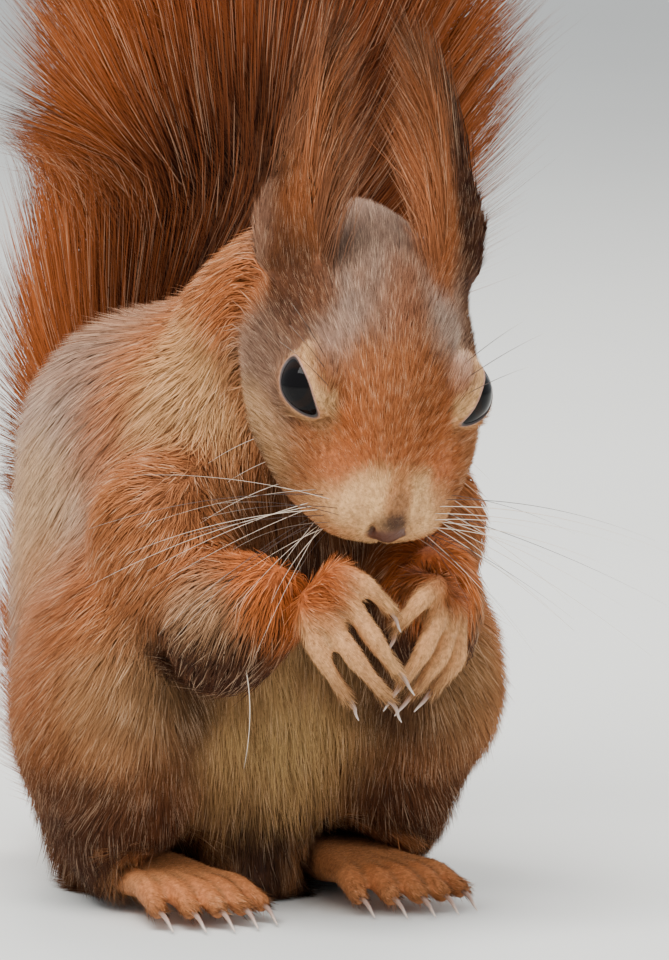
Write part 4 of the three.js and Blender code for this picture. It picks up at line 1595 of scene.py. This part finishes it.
def coatFinish(name, base, tip):
    finish = Finish(name)
    along, strand = finish.value("along"), finish.value("strand")
    patchy = finish.noise(85.0, 2.0, finish.value("root", "Vector"))
    darker = tuple(c * coatLook["patchy"] for c in base)
    base = finish.mix(base, darker, finish.band(patchy, 0.42, 0.66))
    colour = markedAndShadedColour(finish, base)
    if tip:
        colour = finish.mix(colour, tip, finish.band(along, 0.35, 1.0) * 0.75)
    palest = finish.band(strand, 0.80, 0.98) * finish.band(along, 0.25, 0.8) * coatLook["paleTips"]
    colour = finish.mix(colour, tone["paleTip"], palest)
    sooty = finish.band(strand, 0.24, 0.06) * coatLook["sooty"]
    colour = finish.mix(colour, finish.tint(colour, (0.42, 0.36, 0.32)), sooty)
    # Painted shade: each tuft is darker towards its root; hairs also differ in brightness at random.
    paintedRootShadeAndStrandTone = 1 - coatLook["paintedRootShade"] * (1 - finish.band(along, 0.0, 0.55))
    paintedRootShadeAndStrandTone = paintedRootShadeAndStrandTone * (1 - coatLook["strandTone"] / 2 + coatLook["strandTone"] * strand)
    grey = finish.add("ShaderNodeCombineColor", None, {0: paintedRootShadeAndStrandTone, 1: paintedRootShadeAndStrandTone, 2: paintedRootShadeAndStrandTone})
    return finish.surface({"Base Color": finish.tint(colour, grey), "Roughness": coatLook["roughness"],
                           "Specular IOR Level": 0.1})


def skinFinish():
    finish = Finish("skin under the coat")
    colour = markedAndShadedColour(finish, tone["rufous"])
    fine = finish.noise(1500.0, 3.0)
    speckle = finish.mix((0.62, 0.58, 0.55), (1.0, 0.98, 0.96), finish.band(fine, 0.3, 0.7))
    colour = finish.tint(colour, speckle)
    bare = finish.value("bare")
    colour = finish.mix(colour, tone["bare"], bare)
    # painted shade in the nostrils, the mouth and the eye openings
    colour = finish.mix(colour, tone["paintedHoleShade"], finish.value("paintedHoleShade"))
    grain = finish.noise(2600.0, 4.0)
    bump = finish.add("ShaderNodeBump", None, {"Strength": 0.5, "Distance": 0.00025, "Height": grain})
    return finish.surface({"Base Color": colour, "Roughness": 0.72 - bare * 0.3, "Normal": bump,
                           "Specular IOR Level": 0.3})


def eyeFinish():
    finish = Finish("dark wet eye")
    facing = finish.value("facing")
    streaks = finish.noise(1400.0, 2.0)
    iris = finish.mix((0.006, 0.0035, 0.003), (0.012, 0.006, 0.004), streaks)
    ring = finish.band(facing, 0.72, 0.78) * finish.band(facing, 0.93, 0.88)
    colour = finish.mix((0.004, 0.0035, 0.004), iris, ring)
    return finish.surface({"Base Color": colour, "Roughness": 0.03, "IOR": 1.4,
                           "Specular IOR Level": 0.14})


def lidFinish():
    finish = Finish("soft lid")
    creases = finish.noise(900.0, 3.0)
    colour = finish.mix(tone["lid"], tone["lidCrease"], creases)
    colour = finish.mix(colour, tone["lidRim"], finish.value("rim"))
    bump = finish.add("ShaderNodeBump", None, {"Strength": 0.35, "Distance": 0.0002, "Height": creases})
    return finish.surface({"Base Color": colour, "Roughness": 0.5, "Normal": bump})


def clawFinish():
    finish = Finish("claw horn")
    along = finish.value("along")
    streaks = finish.noise(900.0, 2.0)
    colour = finish.mix(tone["clawRoot"], tone["claw"], finish.band(along, 0.1, 0.5))
    colour = finish.mix(colour, tone["clawTip"], finish.band(along, 0.6, 1.0))
    colour = finish.tint(colour, finish.mix((0.8, 0.76, 0.74), (1, 1, 1), streaks))
    return finish.surface({"Base Color": colour, "Roughness": 0.3, "Coat Weight": 0.3})


def whiskerFinish():
    finish = Finish("whisker")
    paler = finish.band(finish.value("strand"), 0.35, 0.55)
    colour = finish.mix(tone["whiskerDark"], tone["whisker"], paler)
    colour = finish.mix(colour, tone["whiskerTip"], finish.band(finish.value("along"), 0.5, 1.0) * 0.5)
    return finish.surface({"Base Color": colour, "Roughness": 0.35})


furFinish = coatFinish("rufous coat", tone["rufous"], None)
tailFinish = coatFinish("tail brush", tone["tail"], tone["tailTip"])
for piece in coatPieces:
    isTail = piece.name.startswith("coat_tail")
    piece.data.materials.append(tailFinish if isTail else furFinish)

# Skin as a piece: its marks, the bare nose, and painted shade in its nostrils, mouth and eye openings.
skinMarks["bare"] = smooth(1.1, 0.8, headShare(skinPoints, muzzle["noseAt"], muzzle["noseReach"]))
paintedHoleShade = np.zeros(len(skinPoints))
for side in sides:
    nostril = headShare(skinPoints, muzzleSide("nostrilAt", side), muzzle["nostrilReach"])
    paintedHoleShade = np.maximum(paintedHoleShade, smooth(0.8, 0.35, nostril))
    paintedHoleShade = np.maximum(paintedHoleShade, smooth(1.02, 0.92, eyePlaces(side, skinPoints)[3]))
skinMarks["paintedHoleShade"] = np.maximum(paintedHoleShade, mouth * 0.8)

lids = [lidRing(side) for side in sides]
allPoints, allFaces = joined([(skinPoints, skinFaces)] + [(points, faces) for points, faces, _ in lids])
skinMesh = meshFrom("skin", allPoints, allFaces)
rims = np.concatenate([rim for _, _, rim in lids])
for name, marks in skinMarks.items():
    skinMarks[name] = np.concatenate([marks, np.zeros(len(rims))])
skinMarks["rim"] = np.concatenate([np.zeros(len(skinPoints)), rims])
keepValues(skinMesh, skinMarks)
skinMesh.materials.append(skinFinish())
skinMesh.materials.append(lidFinish())
slots = np.zeros(len(allFaces), np.int32)
slots[len(skinFaces):] = 1
skinMesh.polygons.foreach_set("material_index", slots)
skin = pieceFrom("skin", skinMesh)
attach(skin, "root")
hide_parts(*[name for part in flesh.values() for name in part["nodes"]])

blackEye = eyeFinish()
for side in sides:
    eyeBall(side).data.materials.append(blackEye)

horn, clawNodes = clawMesh()
horn.materials.append(clawFinish())
clawPiece = pieceFrom("claws", horn)
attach(clawPiece, "root")
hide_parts(*clawNodes)

whiskers = pieceFrom("whiskers", whiskerMesh())
whiskers.data.materials.append(whiskerFinish())
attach(whiskers, "root")
print("finishes on")


# Stage: floor, lights and camera.

viewOf = {
    "azimuth": -25.0,  # degrees round the animal, from straight ahead
    "elevation": 6.5,
    "distance": 1.7,
    "aim": (-11.9, -36.9, 66.6),  # mm, the middle of the picture
    "height": 145.5,  # mm, what the picture's height takes in
}


# A lamp or a camera that faces its target, from degrees round the animal and above the floor.
def facing(name, data, target, azimuth, elevation, distance):
    turn, lift = math.radians(azimuth), math.radians(elevation)
    away = Vector((math.sin(turn) * math.cos(lift), -math.cos(turn) * math.cos(lift), math.sin(lift)))
    thing = pieceFrom(name, data)
    thing.location = target + away * distance
    thing.rotation_euler = (-away).to_track_quat("-Z", "Y").to_euler()
    return thing


def addCamera():
    camera = facing("camera", bpy.data.cameras.new("camera"), Vector(viewOf["aim"]) * mm,
                    viewOf["azimuth"], viewOf["elevation"], viewOf["distance"])
    camera.data.sensor_width = 36
    camera.data.lens = 36 * viewOf["distance"] / (viewOf["height"] * mm)
    camera.data.clip_start, camera.data.clip_end = 0.05, 50
    bpy.context.scene.camera = camera


lights = {  # azimuth, elevation, distance m, size m, power W, colour
    "key": (-62, 60, 1.1, 0.7, 18, (1.0, 0.985, 0.96)),
    "fill": (5, 32, 1.2, 0.9, 5, (0.97, 0.99, 1.0)),
    "rim": (150, 50, 1.1, 0.6, 10, (1.0, 0.97, 0.92)),
}
worldLight = {"Color": (0.93, 0.96, 1.0, 1), "Strength": 0.75}


def addLights():
    target = Vector((cadBox[0] + cadBox[1]) / 2)
    for name, (azimuth, elevation, distance, size, power, colour) in lights.items():
        lamp = facing(name, bpy.data.lights.new(name, "AREA"), target, azimuth, elevation, distance)
        lamp.data.size, lamp.data.energy, lamp.data.color = size, power, colour
    world = bpy.data.worlds.new("studio")
    bpy.context.scene.world = world
    world.use_nodes = True
    for name, value in worldLight.items():
        world.node_tree.nodes["Background"].inputs[name].default_value = value


floorReach = 9  # m


def addFloor():
    finish = Finish("pale floor")
    grain = finish.noise(9.0)
    colour = finish.mix((0.77, 0.775, 0.74), (0.81, 0.815, 0.78), grain)
    material = finish.surface({"Base Color": colour, "Roughness": 0.8})
    points = [(x * floorReach, y * floorReach, 0) for x, y in ((-1, -1), (1, -1), (1, 1), (-1, 1))]
    floor = pieceFrom("floor", meshFrom("floor", points, [(0, 1, 2, 3)], False))
    floor.data.materials.append(material)


addCamera()
addLights()
addFloor()
